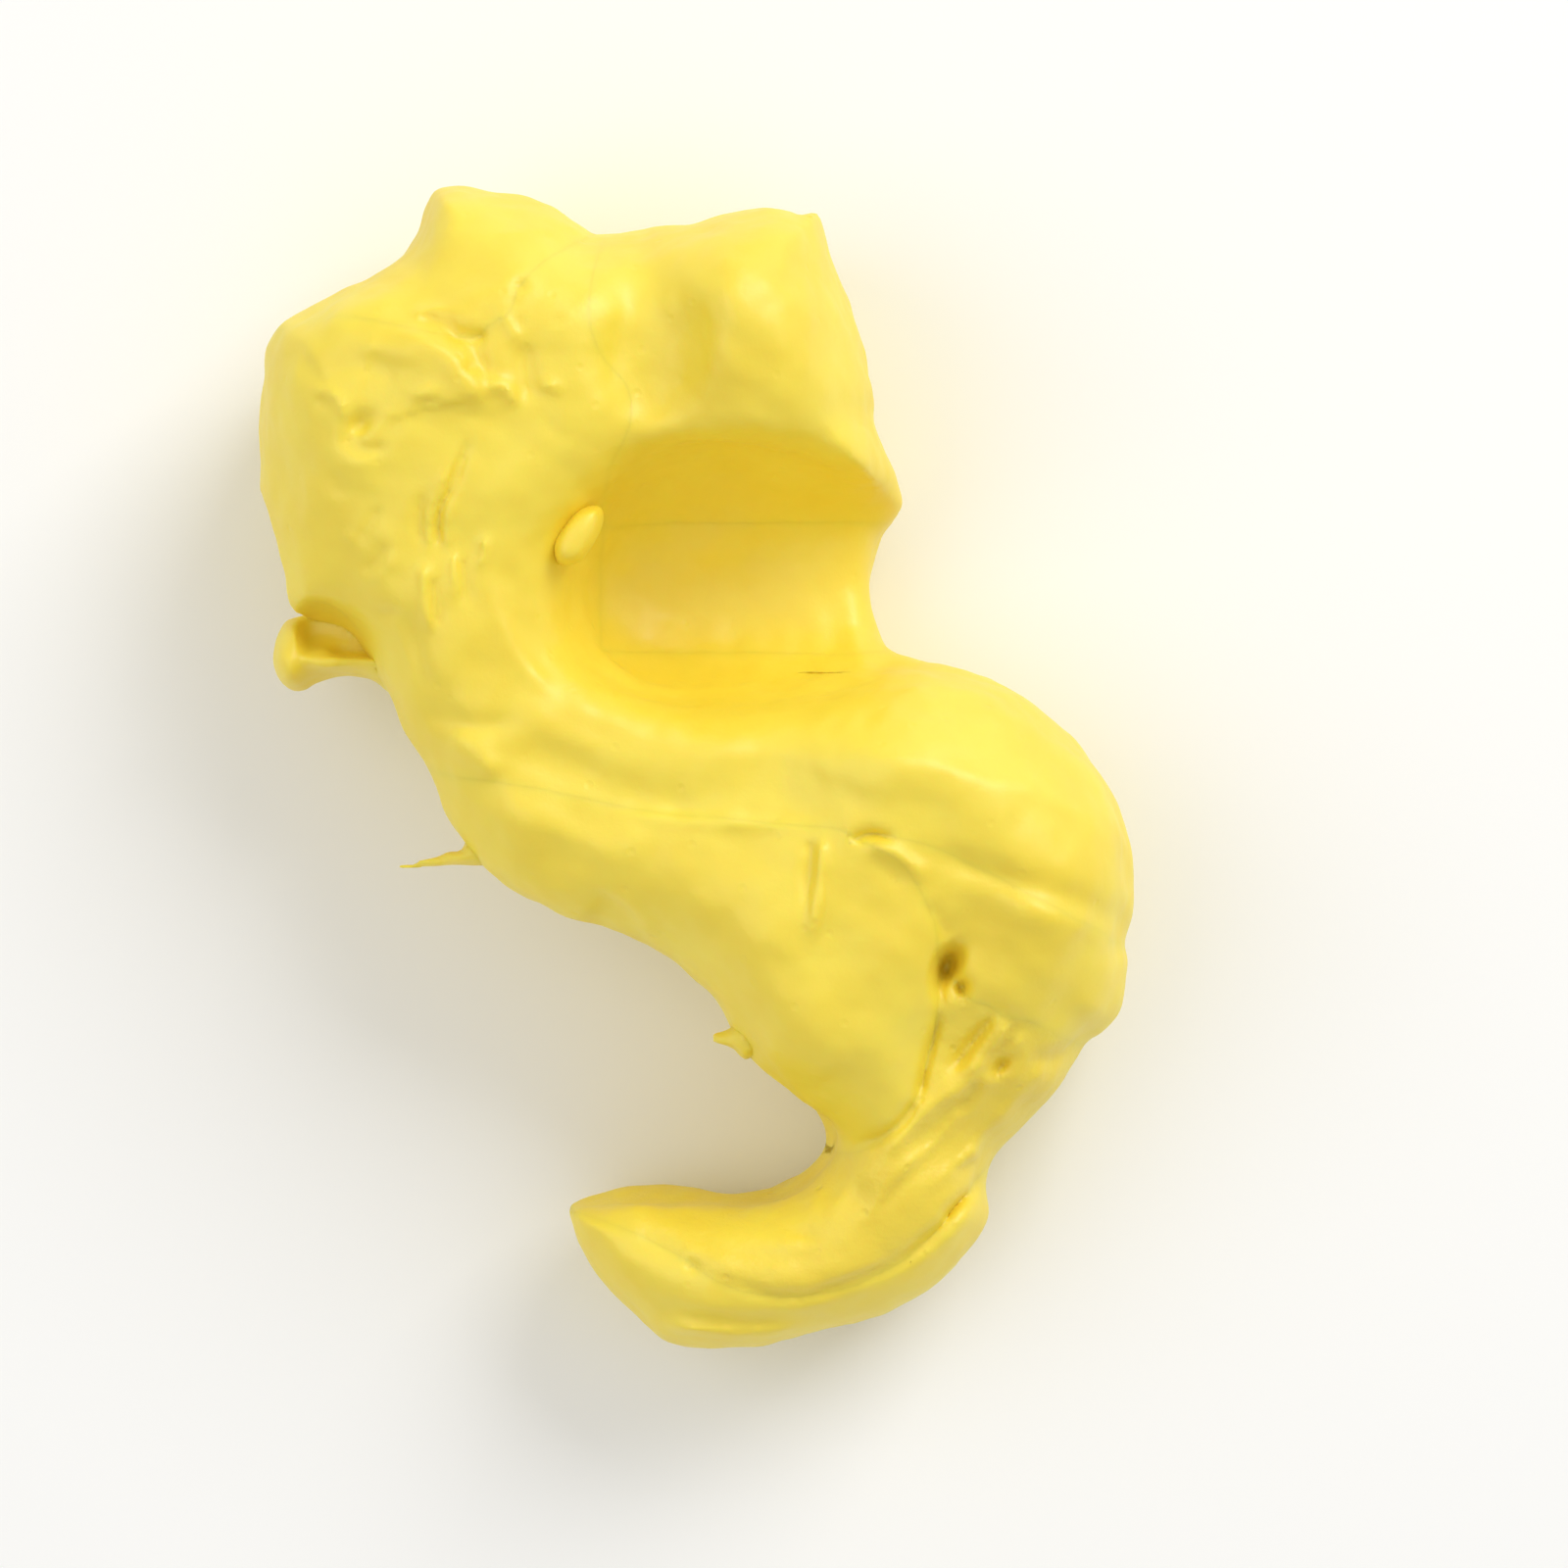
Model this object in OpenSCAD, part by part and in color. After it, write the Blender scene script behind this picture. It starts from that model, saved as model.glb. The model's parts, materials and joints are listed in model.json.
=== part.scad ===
// Squeezed stress ball: one lump of kneadable dough that keeps the grip of a hand.
// It lies on its back on a desk. +X runs to the right, +Y up the lump and +Z away from the desk.
// The origin is on the desk, under the middle of the lump.

/* [Lump] */
// Width across the lump, from the head's left side to the shoulder's right side
lump_w = 90; // [75:1:108]
// Length of the lump, from the crest's tip to the bottom roll
lump_l = 119; // [99:1:143]
// Height of the head above the desk
head_h = 39; // [33:0.5:47]
// Height of the band that runs from the neck into the tongue
band_h = 34; // [29:0.5:41]
// Height of the shoulder above the desk
shoulder_h = 38; // [32:0.5:46]
// Height of the bottom roll above the desk
roll_h = 27; // [23:0.5:33]

/* [Lobes] */
// Radius of the round left side of the head
head_r = 17.5; // [15:0.5:21]
// Length of the head beside the thumb hollow, from the crest's tip to the hollow
head_l = 31; // [26:0.5:37]
// Reach of the head to the right, from its left side to its lower right corner
head_reach = 65.5; // [55:0.5:78]
// Radius of the crest's tip
crest_r = 4; // [3.5:0.5:5]
// Half the width of the neck where it is narrowest
neck_r = 10.8; // [9:0.2:13]
// Radius of the shoulder
shoulder_r = 17; // [14.5:0.5:20]
// Radius of the tongue where it is widest
tongue_r = 12.5; // [10.5:0.5:15]
// Radius of the tongue's tip
tongue_tip_r = 7.5; // [6.5:0.5:9]
// Radius of the bottom roll
roll_r = 9; // [7.5:0.5:11]
// Thickness of the upper fin, between the index and middle fingers
upper_fin_t = 5; // [4.2:0.1:6]
// Thickness of the two thin fins below it
fin_t = 3.4; // [2.8:0.1:4.1]
// Thickness of the lip at the end of the thumb hollow
lip_t = 3.4; // [2.8:0.1:4.1]

/* [Hand prints] */
// Diameter of the thumb that made the hollow
thumb_d = 20; // [17:0.5:24]
// Distance from the head's left side to the end of the thumb hollow
hollow_x = 34; // [30:0.5:38]
// Thickness of dough left under the thumb
web_t = 14; // [12:0.5:17]
// Diameter of the fingers that made the four troughs
finger_d = 18; // [15:0.5:21]
// Distance between the middles of two neighbouring fingers
finger_pitch = 18; // [16:0.2:20]
// Thickness of dough left under the fingers
finger_floor = 7; // [6:0.5:8.5]

/* [Seams and folds] */
// Gap between two gobs of one body
seam_gap = 0.2; // [0.15:0.05:0.3]
// Gap between two bodies that move against each other
body_gap = 0.4; // [0.35:0.05:0.6]
// Height of the layer of dough that lies under the neck and the tongue
layer_h = 14.6; // [12.5:0.2:17]
// Height of the lines about which the head and the tail fold
fold_z = 8; // [7:0.5:9.5]
// Furthest that the head folds over the thumb hollow, in degrees
head_fold = 15; // [12:1:18]
// Furthest that the tail folds over the little finger's trough, in degrees
tail_fold = 12; // [10:1:14]
// Furthest that the tongue peels away, in degrees
tongue_peel = 12; // [10:1:14]

/* [Hidden] */
$fn = 20;
dough = "#F4DC46";
far = 200;
// How far a pebble that lies on the desk reaches below it, so that its underside is cut flat
sink = 3;

// Edges of the lump
x_left = -lump_w / 2;
x_right = lump_w / 2;
y_top = lump_l / 2;
y_bottom = -lump_l / 2;

// Places of the hand prints
thumb_y = y_top - head_l - thumb_d / 2;
thumb_x = x_left + hollow_x + thumb_d / 2;
thumb_z = web_t + thumb_d / 2;
index_y = thumb_y + 1;
finger_z = finger_floor + finger_d / 2;
finger_tips = [x_left + 3.5, x_left + 18, x_left + 36, x_left + 57];
function finger_y(i) = index_y - i * finger_pitch;
function fin_y(i) = index_y - (i + 0.5) * finger_pitch;

// Lines about which the parts fold, all along X
head_fold_y = thumb_y - 3.5;
tail_fold_y = y_bottom + 19.5;
tongue_fold_y = head_fold_y - 19;
tongue_fold_z = band_h - 1;

// A pebble is [x, y, radius, bottom, top].
head_side = [x_left + head_r, head_fold_y + 18, head_r, -sink, head_h - 1];
head_low = [x_left + 16, head_fold_y + 8, head_r - 3, -sink, head_h - 4];
head_mid = [x_left + 34, y_top - 18.5, 14, -sink, head_h - 2];
crest_low = [x_left + 19, y_top - 14.5, 11, 4, head_h - 2];
crest_tip = [x_left + 20.5, y_top - crest_r, crest_r, 14, head_h - 9];
corner = [x_left + 5.5, y_top - 19, 5.5, 10, head_h - 8];
block_mid = [x_left + 46, y_top - 15.5, 11.5, -sink, head_h];
block_top = [x_left + 54, y_top - 9, 6, 8, head_h - 3];
block_side = [x_left + head_reach - 8.5, thumb_y + 18.5, 7.5, 2, head_h - 1];
block_low = [x_left + head_reach - 5, thumb_y + 14.5, 5, 6, head_h - 6];

neck_top = [x_left + 16, head_fold_y + 6, 13.5, -sink, band_h - 1];
neck_mid = [x_left + 12.2 + neck_r, head_fold_y - 3, neck_r, -sink, band_h - 1];
neck_low = [x_left + 30, head_fold_y - 12.5, 11.5, -sink, band_h - 1];
band_mid = [x_left + 41, head_fold_y - 19.5, 12.5, -sink, band_h];
strip_mid = [x_right - 35, thumb_y - thumb_d / 2 - 12, 12, -sink, band_h + 1];
shoulder_top = [x_right - 21, thumb_y - thumb_d / 2 + 2 - shoulder_r, shoulder_r, -sink, shoulder_h];
shoulder_side = [x_right - shoulder_r, shoulder_top[1] - 6, shoulder_r, -sink, shoulder_h - 1];
heel_side = [x_right - 14, tail_fold_y + 20, 13.5, -sink, shoulder_h - 5];
heel_low = [x_right - 18, tail_fold_y + 13, 10, -sink, shoulder_h - 8];
flap_low = [x_right - 20, tail_fold_y + 2, 8, -sink, roll_h - 1];
web_left = [thumb_x - 2, thumb_y, 12, -sink, web_t + 6];
web_right = [thumb_x + 14, thumb_y + 1, 10, -sink, web_t + 5];

tongue_root = [x_left + 39, tongue_fold_y - 4, 10.5, -sink, band_h];
tongue_mid = [x_left + 53, tongue_fold_y - 10, tongue_r, -sink, band_h + 1];
tongue_low = [x_left + 57, tongue_fold_y - 17, tongue_r - 0.5, -sink, band_h];
tongue_tip = [x_left + 60.5, tail_fold_y + 9, tongue_tip_r, -sink, band_h - 6];

roll_end = [x_left + 38.5, y_bottom + 10.5, 6.5, 1, roll_h - 5];
roll_left = [x_left + 43, y_bottom + roll_r, roll_r, -sink, roll_h - 1];
roll_mid = [x_left + 54, y_bottom + roll_r + 0.5, roll_r, -sink, roll_h];
roll_right = [x_right - 24, y_bottom + roll_r + 3, roll_r, -sink, roll_h - 1];
roll_tip = [x_right - 21.5, tail_fold_y - 3.5, 6.5, -sink, roll_h - 3];

// Corners of the seams between the gobs, seen from above
channel = [x_left + hollow_x + 2, thumb_y - 7];
web_y = thumb_y + 7;
crest = [x_left + 23, y_top - 19];
valley = [x_left + 38, y_top - 12.5];
block_x = x_left + 44;
crease_left = [x_left - 20, tongue_fold_y + 4];
crease_mid = [x_left + 36, tongue_fold_y];
crease_right = [x_left + 62, tongue_fold_y - 3];
hook = [x_right - 16, tongue_fold_y - 5.5];
step = [x_right - 1, tongue_fold_y - 15];
tongue_side = [x_left + 69, tongue_fold_y - 12];
tongue_wide = [x_left + 69, tongue_fold_y - 18.5];
tongue_turn = [x_left + 66.5, tail_fold_y + 10];
tongue_end = [x_left + 59, tail_fold_y + 3.5];
strands_mid = [x_right - 13, tail_fold_y + 14.5];
strands_side = [far, tail_fold_y + 12];
crescent = [[-far, y_bottom + 24], [x_left + 35, y_bottom + 16], [x_left + 44, y_bottom + 9.5],
            [x_left + 57, y_bottom + 8], [x_left + 68, y_bottom + 10.5], [x_left + 76, y_bottom + 19],
            [far, y_bottom + 40]];

// Outlines of the gobs, seen from above
neck_outline = [[-far, far], [channel[0], far], channel, crease_mid, crease_left, [-far, crease_left[1]]];
web_outline = [channel, [far, channel[1]], [far, web_y], [channel[0], web_y]];
shoulder_outline = [channel, [far, channel[1]], [far, step[1]], step, hook, crease_right, crease_mid];
heel_outline = [crease_right, hook, step, [far, step[1]], strands_side, strands_mid, tongue_wide, tongue_side];
tongue_outline = [crease_left, crease_mid, crease_right, tongue_side, tongue_wide, tongue_turn, tongue_end,
                  [-far, tongue_end[1]]];
flap_outline = [tongue_wide, strands_mid, strands_side, [far, -far], [tongue_end[0], -far], tongue_end,
                tongue_turn];
core_outline = [[-far, far], [channel[0], far], channel, crease_mid, crease_right, tongue_side, tongue_wide,
                strands_mid, strands_side, [far, -far], [-far, -far]];
head_lobe_outline = [[-far, -far], [channel[0], -far], [channel[0], web_y], [block_x, web_y],
                     [block_x, valley[1]], valley, crest, [-far, crest[1] + 3]];
left_crest_outline = [[-far, crest[1] + 3], crest, valley, [valley[0], far], [-far, far]];
right_crest_outline = [[block_x, web_y], [far, web_y], [far, far], [valley[0], far], valley,
                       [block_x, valley[1]]];
fold_outline = [for (p = crescent) p, [far, far], [-far, far]];
roll_outline = [for (p = crescent) p, [far, -far], [-far, -far]];

module pebble(p, grow = 0)
    translate([p[0], p[1], (p[3] + p[4]) / 2])
        scale([1, 1, ((p[4] - p[3]) / 2 + grow) / (p[2] + grow)])
            sphere(p[2] + grow);

module lobe(pebbles, grow = 0)
    hull() for (p = pebbles) pebble(p, grow);

// The web that the thumb presses down on
module web(grow = 0) lobe([web_left, web_right], grow);

// The whole lump, before the hand presses into it and the seams divide it
module lump() {
    lobe([head_side, head_low, corner, head_mid]);
    lobe([head_side, crest_low, crest_tip, head_mid]);
    lobe([head_mid, block_mid, block_top]);
    lobe([block_mid, block_top, block_side, block_low]);
    lobe([head_side, neck_top, neck_mid]);
    lobe([neck_mid, neck_low]);
    lobe([neck_low, tongue_root, band_mid]);
    lobe([band_mid, strip_mid]);
    lobe([strip_mid, shoulder_top]);
    lobe([shoulder_top, shoulder_side]);
    lobe([shoulder_side, heel_side, heel_low]);
    lobe([tongue_root, tongue_mid, strip_mid]);
    lobe([tongue_mid, tongue_low, shoulder_side]);
    lobe([tongue_low, tongue_tip, heel_side]);
    lobe([tongue_tip, flap_low, heel_low]);
    web();
    lobe([roll_end, roll_left, roll_mid]);
    lobe([roll_mid, roll_right]);
    lobe([roll_right, roll_tip]);
    lobe([roll_tip, flap_low]);
}

// What one digit presses away, from its tip to the given end; lift opens the print upwards
module print(d, tip, end, lift = 0)
    hull() for (p = [tip, end], z = [0, lift]) translate(p + [0, 0, z]) sphere(d = d);

module hand_prints() {
    print(thumb_d, [thumb_x, thumb_y, thumb_z], [far, thumb_y + 4, thumb_z], far);
    for (i = [0:3])
        print(finger_d, [finger_tips[i] - finger_d / 2, finger_y(i), finger_z], [-far, finger_y(i), finger_z]);
}

// A prism over an outline, pulled in by half a gap, between two heights
module cell(outline, bottom = -far, top = far, gap = seam_gap)
    translate([0, 0, bottom])
        linear_extrude(top - bottom) offset(delta = -gap / 2) polygon(outline);

// A prism along the whole X direction over an outline of [y, z] points
module along_x(outline)
    translate([-far, 0, 0]) rotate([90, 0, 90]) linear_extrude(2 * far) polygon(outline);

// The head's side of its fold; the wedge left above the fold line is the room that the fold needs
module head_space(gap = 0)
    along_x([[head_fold_y - gap, -far], [head_fold_y - gap, fold_z],
             [head_fold_y - gap + far * tan(head_fold), fold_z + far], [2 * far, fold_z + far], [2 * far, -far]]);

// The tail's side of its fold
module tail_space(gap = 0)
    along_x([[tail_fold_y + gap, -far], [tail_fold_y + gap, fold_z],
             [tail_fold_y + gap - far * tan(tail_fold), fold_z + far], [-2 * far, fold_z + far], [-2 * far, -far]]);

// Everything past the two fold lines, which the resting middle of the lump keeps out of
module past_folds() {
    along_x([[head_fold_y - body_gap, -far], [head_fold_y - body_gap, far], [far, far], [far, -far]]);
    along_x([[tail_fold_y + body_gap, -far], [tail_fold_y + body_gap, far], [-far, far], [-far, -far]]);
}

// What the head's side beside the thumb hollow passes through as the head folds
module head_swing()
    for (i = [0:3])
        translate([0, head_fold_y, fold_z]) rotate([i * head_fold / 3, 0, 0]) translate([0, -head_fold_y, -fold_z])
            along_x([[web_y - body_gap, -far], [web_y - body_gap, far], [far, far], [far, -far]]);

// What the tongue passes through as it peels away
module tongue_swing()
    for (i = [0:3])
        translate([0, tongue_fold_y, tongue_fold_z]) rotate([-i * tongue_peel / 3, 0, 0])
            translate([0, -tongue_fold_y, -tongue_fold_z])
                cell(tongue_outline, layer_h - body_gap, 2 * band_h, -2 * body_gap);

// The desk and everything below it
module desk() translate([-far, -far, -2 * far]) cube(2 * far);

// One fin: a wedge of dough squeezed out between two fingers, over a run to the right of its tip
module fin(i, tip_x, run, t, bottom, grow = 0)
    lobe([[tip_x + t / 2, fin_y(i), t / 2, bottom, band_h - 11],
          [tip_x + run, fin_y(i), t / 2 + 1, bottom, band_h - 8]], grow);

module fin_shapes(grow = 0) {
    fin(0, x_left + 2.2, 12, upper_fin_t, fold_z - 2, grow);
    fin(1, x_left + 16.5, 9, fin_t, layer_h + 1, grow);
    fin(2, x_left + 46.5, 8, fin_t, layer_h + 1, grow);
}

module lip_shape(grow = 0)
    lobe([[x_left + hollow_x, thumb_y + 4, lip_t / 2, thumb_z - 3, band_h - 6],
          [x_left + hollow_x + 2, thumb_y + 7.5, lip_t / 2, thumb_z - 2, band_h - 4]], grow);

// A gob of the lump: what is inside the given space, with the hand prints pressed in
module gob()
    difference() {
        intersection() {
            lump();
            children();
        }
        hand_prints();
        desk();
    }

/* Gobs of the middle */
module grip_core()
    color(dough) difference() {
        gob() cell(core_outline, top = layer_h - seam_gap);
        past_folds();
        tongue_swing();
        fin_shapes(seam_gap);
    }

module neck_band()
    color(dough) difference() {
        gob() cell(neck_outline, layer_h);
        head_space(body_gap);
        cell(tongue_outline, gap = -body_gap);
        fin_shapes(seam_gap);
        lip_shape(body_gap);
    }

module thumb_web()
    color(dough) difference() {
        gob() cell(web_outline, gap = 2 * body_gap);
        head_swing();
    }

module shoulder_lobe()
    color(dough) difference() {
        gob() cell(shoulder_outline);
        tongue_swing();
    }

module heel_lobe()
    color(dough) difference() {
        gob() cell(heel_outline);
        tongue_swing();
    }

module lower_flap()
    color(dough) difference() {
        gob() cell(flap_outline, layer_h);
        tail_space(body_gap);
        cell(tongue_outline, gap = -body_gap);
    }

module upper_fin()
    color(dough) fin(0, x_left + 2.2, 12, upper_fin_t, fold_z - 2);

/* Gobs of the head */
// The far edge of the web, which moves with the head
module web_rim()
    intersection() {
        web();
        cell([[channel[0], web_y], [far, web_y], [far, far], [channel[0], far]]);
    }

module head_lobe()
    color(dough) difference() {
        gob() intersection() {
            union() {
                cell(head_lobe_outline);
                web_rim();
            }
            head_space();
        }
        lip_shape(seam_gap);
    }

module left_crest() color(dough) gob() cell(left_crest_outline);

module right_crest()
    color(dough) difference() {
        gob() cell(right_crest_outline);
        web(seam_gap);
    }

module thumb_lip()
    color(dough) intersection() {
        lip_shape();
        head_space();
    }

/* Gobs of the tongue */
module tongue()
    color(dough) difference() {
        gob() cell(tongue_outline, layer_h);
        fin_shapes(seam_gap);
    }

module middle_fin() color(dough) fin(1, x_left + 16.5, 9, fin_t, layer_h + 1);

module lower_fin() color(dough) fin(2, x_left + 46.5, 8, fin_t, layer_h + 1);

/* Gobs of the tail */
module bottom_roll()
    color(dough) gob() intersection() {
        cell(roll_outline);
        tail_space();
    }

module bottom_fold()
    color(dough) gob() intersection() {
        cell(fold_outline);
        tail_space();
    }

grip_core();
neck_band();
thumb_web();
shoulder_lobe();
heel_lobe();
lower_flap();
upper_fin();
head_lobe();
left_crest();
right_crest();
thumb_lip();
tongue();
middle_fin();
lower_fin();
bottom_roll();
bottom_fold();
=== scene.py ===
# %% [markdown]
# # A squeezed stress ball
# The real thing is a ball of skinless, kneadable dough, about 90 mm wide and 119 mm long once a
# hand has squeezed it. It keeps the print of the thumb and of four fingers, with folds, creases
# and torn strands between them. Here it lies on its back on a table, as the hand left it.
#
# Most things in Blender are made as one curved sheet or one profile carried along a path. A lump
# that rolls over itself and is hollowed from the side has no single sheet. So every piece here is
# made in two steps. First, whole arrays of numpy give the plan: how far each point of the table
# is from the lump's edge, how high the dough stands there, and the relief of every crease, all
# functions of two parameters on a grid. Then these become one field in space, whose zero is the
# skin of the dough, and each piece is the skin of its own share of that field.

# %% Load the frame
import json
import math

import bpy
import numpy as np
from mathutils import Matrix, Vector


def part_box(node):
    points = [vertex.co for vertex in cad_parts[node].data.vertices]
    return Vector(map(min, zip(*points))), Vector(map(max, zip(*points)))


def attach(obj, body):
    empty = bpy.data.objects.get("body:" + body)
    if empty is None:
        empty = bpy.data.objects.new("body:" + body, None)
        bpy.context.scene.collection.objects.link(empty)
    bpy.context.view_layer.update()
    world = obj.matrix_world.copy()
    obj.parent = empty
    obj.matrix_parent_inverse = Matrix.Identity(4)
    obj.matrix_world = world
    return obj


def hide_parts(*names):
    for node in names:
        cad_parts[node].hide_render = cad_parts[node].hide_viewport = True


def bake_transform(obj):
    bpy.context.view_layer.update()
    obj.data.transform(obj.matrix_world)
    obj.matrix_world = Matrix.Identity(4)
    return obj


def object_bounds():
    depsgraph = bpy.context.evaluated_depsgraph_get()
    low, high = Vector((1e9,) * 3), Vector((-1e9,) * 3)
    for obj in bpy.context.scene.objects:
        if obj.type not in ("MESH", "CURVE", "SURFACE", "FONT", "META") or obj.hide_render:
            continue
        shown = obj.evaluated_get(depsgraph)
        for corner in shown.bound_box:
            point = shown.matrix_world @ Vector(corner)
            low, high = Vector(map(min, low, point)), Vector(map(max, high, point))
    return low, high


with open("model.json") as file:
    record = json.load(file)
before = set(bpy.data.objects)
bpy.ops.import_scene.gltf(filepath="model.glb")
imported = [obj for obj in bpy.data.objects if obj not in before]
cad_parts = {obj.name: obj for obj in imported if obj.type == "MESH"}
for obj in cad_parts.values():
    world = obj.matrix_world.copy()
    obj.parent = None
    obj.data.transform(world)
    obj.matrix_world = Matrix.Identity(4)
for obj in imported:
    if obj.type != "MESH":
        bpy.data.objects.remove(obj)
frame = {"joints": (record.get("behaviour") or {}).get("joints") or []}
cad_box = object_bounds()

# %% [markdown]
# ## The working grid
# Lengths are in millimetres while the dough is shaped, and in metres once it is a mesh. The given
# points are for a ball of the usual size, and `PLAN` stretches them to the frame's box,
# so that a larger or flatter ball keeps its creases in their places.

# %% Grid
MM = 0.001
low, high = (np.array(corner) / MM for corner in cad_box)
USUAL = np.array([89.72, 118.84, 38.74])
PLAN = (high - low) / USUAL
STEP = 0.5
xs = np.arange(low[0] - 3, high[0] + 3, STEP)
ys = np.arange(low[1] - 3, high[1] + 3, STEP)
zs = np.arange(low[2] - 1.5, high[2] + 3, STEP)
X, Y = np.meshgrid(xs, ys, indexing="ij")
# the same places on the usual ball, where the listed points are
PX, PY = X / PLAN[0], Y / PLAN[1]
Z = zs[None, None, :] / PLAN[2]
print("grid:", X.shape + (len(zs),), "box in mm:", np.round(high - low, 1))

# %% [markdown]
# ## Drawing on the plan
# A crease or an edge is a smooth line through a few chosen points. For each grid point, `track`
# finds how far the line is, on which side, and how far along. From these three maps come
# grooves, crests, overlapping folds and the lump's own outline.

# %% Lines on the plan
def smooth(points, closed=False, cuts=6):
    """Catmull-Rom line: between two points it is the cubic that passes through both with the
    slope of the chord between their neighbours."""
    p = np.array(points, float)
    ends = (p[-1:], p[:1], p[1:2]) if closed else (2 * p[:1] - p[1:2], 2 * p[-1:] - p[-2:-1])
    q = np.concatenate([ends[0], p, *ends[1:]])
    a, b, c, d = q[:-3], q[1:-2], q[2:-1], q[3:]
    t = np.linspace(0, 1, cuts, endpoint=False)[:, None, None]
    line = 0.5 * (2 * b + (c - a) * t + (2 * a - 5 * b + 4 * c - d) * t**2
                  + (3 * b - a - 3 * c + d) * t**3)
    line = line.transpose(1, 0, 2).reshape(-1, 2)
    return line if closed else np.concatenate([line, p[-1:]])


def track(line):
    """Distance from every grid point to a line, its side (+1 left, -1 right of the way the line
    runs) and the share of the line's length that lies behind the nearest point."""
    best = np.full(PX.shape, 1e9)
    side = np.zeros(PX.shape)
    along = np.zeros(PX.shape)
    reach = np.linalg.norm(np.diff(line, axis=0), axis=1)
    done = np.concatenate([[0], np.cumsum(reach)])
    for a, b, start, length in zip(line[:-1], line[1:], done, reach):
        dx, dy = (b - a) / max(length, 1e-9)
        t = np.clip((PX - a[0]) * dx + (PY - a[1]) * dy, 0, length)
        rx, ry = PX - a[0] - t * dx, PY - a[1] - t * dy
        d = np.hypot(rx, ry)
        near = d < best
        best = np.where(near, d, best)
        side = np.where(near, np.sign(dx * ry - dy * rx), side)
        along = np.where(near, (start + t) / done[-1], along)
    return best, side, along


def inside(line):
    """Even-odd rule: a point is inside where a ray to its right crosses the closed line an odd
    number of times."""
    odd = np.zeros(PX.shape, bool)
    for (ax, ay), (bx, by) in zip(line, np.roll(line, -1, axis=0)):
        if ay != by:
            crosses = (ay > PY) != (by > PY)
            odd ^= crosses & (PX < ax + (PY - ay) * (bx - ax) / (by - ay))
    return odd


def outline(points, rounded=True):
    """Signed distance to a closed line: negative inside, positive outside."""
    line = smooth(points, closed=True) if rounded else np.array(points, float)
    distance = track(np.concatenate([line, line[:1]]))[0]
    return np.where(inside(line), -distance, distance)


def blur(a, reach):
    """Gaussian blur, one axis after the other, with a kernel of three reaches a side."""
    n = int(3 * reach / STEP) + 1
    k = np.exp(-0.5 * (np.arange(-n, n + 1) * STEP / reach) ** 2)
    k /= k.sum()
    for axis in (0, 1):
        pad = [(n, n) if i == axis else (0, 0) for i in (0, 1)]
        wide = np.pad(a, pad, mode="edge")
        size = a.shape[axis]
        a = sum(w * np.take(wide, np.arange(i, i + size), axis) for i, w in enumerate(k))
    return a


def ease(t):
    """Smooth step from 0 to 1: three t squared minus two t cubed."""
    t = np.clip(t, 0, 1)
    return t * t * (3 - 2 * t)


# %% [markdown]
# ## The outline of the squeezed lump
# Seen from above, the lump is an S: a head with two blunt peaks, a neck that curls round the
# thumb, a shoulder, a tongue that was pushed down over the fingers, and a roll at the bottom.

# %% Outline
HEAD_EDGE = [(20.75, 27.3), (20.4, 29.2), (19.2, 32.6), (18.2, 35.8), (18.1, 38.2), (17.7, 40.6),
             (16.0, 46.9), (14.2, 51.5), (12.9, 55.8), (12.1, 56.8), (10.8, 56.7), (9.2, 57.3),
             (6.8, 57.5), (3.2, 56.9), (-0.2, 55.9), (-3.9, 55.4), (-5.8, 54.9), (-10.1, 54.7),
             (-11.6, 55.5), (-15.0, 57.4), (-19.8, 58.8), (-22.5, 59.4), (-24.8, 59.5),
             (-26.6, 58.9), (-27.7, 57.2), (-28.6, 54.4), (-30.5, 52.0), (-33.0, 50.1),
             (-36.5, 48.5), (-40.0, 46.9), (-42.6, 45.3), (-43.9, 43.1), (-44.2, 40.0),
             (-44.8, 33.5), (-44.5, 27.6), (-43.5, 22.5), (-42.3, 17.4), (-41.0, 15.1)]
FINGER_EDGE = [(-38.0, 14.6), (-34.6, 13.4), (-32.3, 9.5), (-29.7, 4.0), (-27.0, -0.5),
               (-25.2, -4.6), (-22.6, -8.6), (-19.5, -11.6), (-16.0, -13.6), (-12.5, -15.2),
               (-9.0, -16.1), (-5.2, -17.6), (-2.0, -19.4), (0.8, -22.2), (3.0, -25.4),
               (5.3, -29.2), (8.4, -32.7), (11.4, -34.8), (13.6, -36.0), (14.4, -37.6),
               (13.6, -39.6), (11.2, -41.5), (8.0, -43.1), (2.9, -44.0), (-2.3, -43.2),
               (-6.4, -42.8), (-10.0, -43.7), (-13.0, -44.8)]
ROLL_EDGE = [(-13.2, -46.4), (-11.8, -49.5), (-9.9, -52.7), (-5.8, -56.6), (-2.9, -58.8),
             (0.4, -59.5), (4.1, -59.5), (10.5, -58.5), (16.9, -56.9), (20.7, -55.3),
             (24.9, -52.7), (27.4, -50.2), (29.5, -47.4), (30.1, -45.4), (30.0, -42.2),
             (30.9, -39.7), (33.4, -37.2), (36.6, -33.7), (38.5, -30.7), (40.2, -28.1)]
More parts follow.
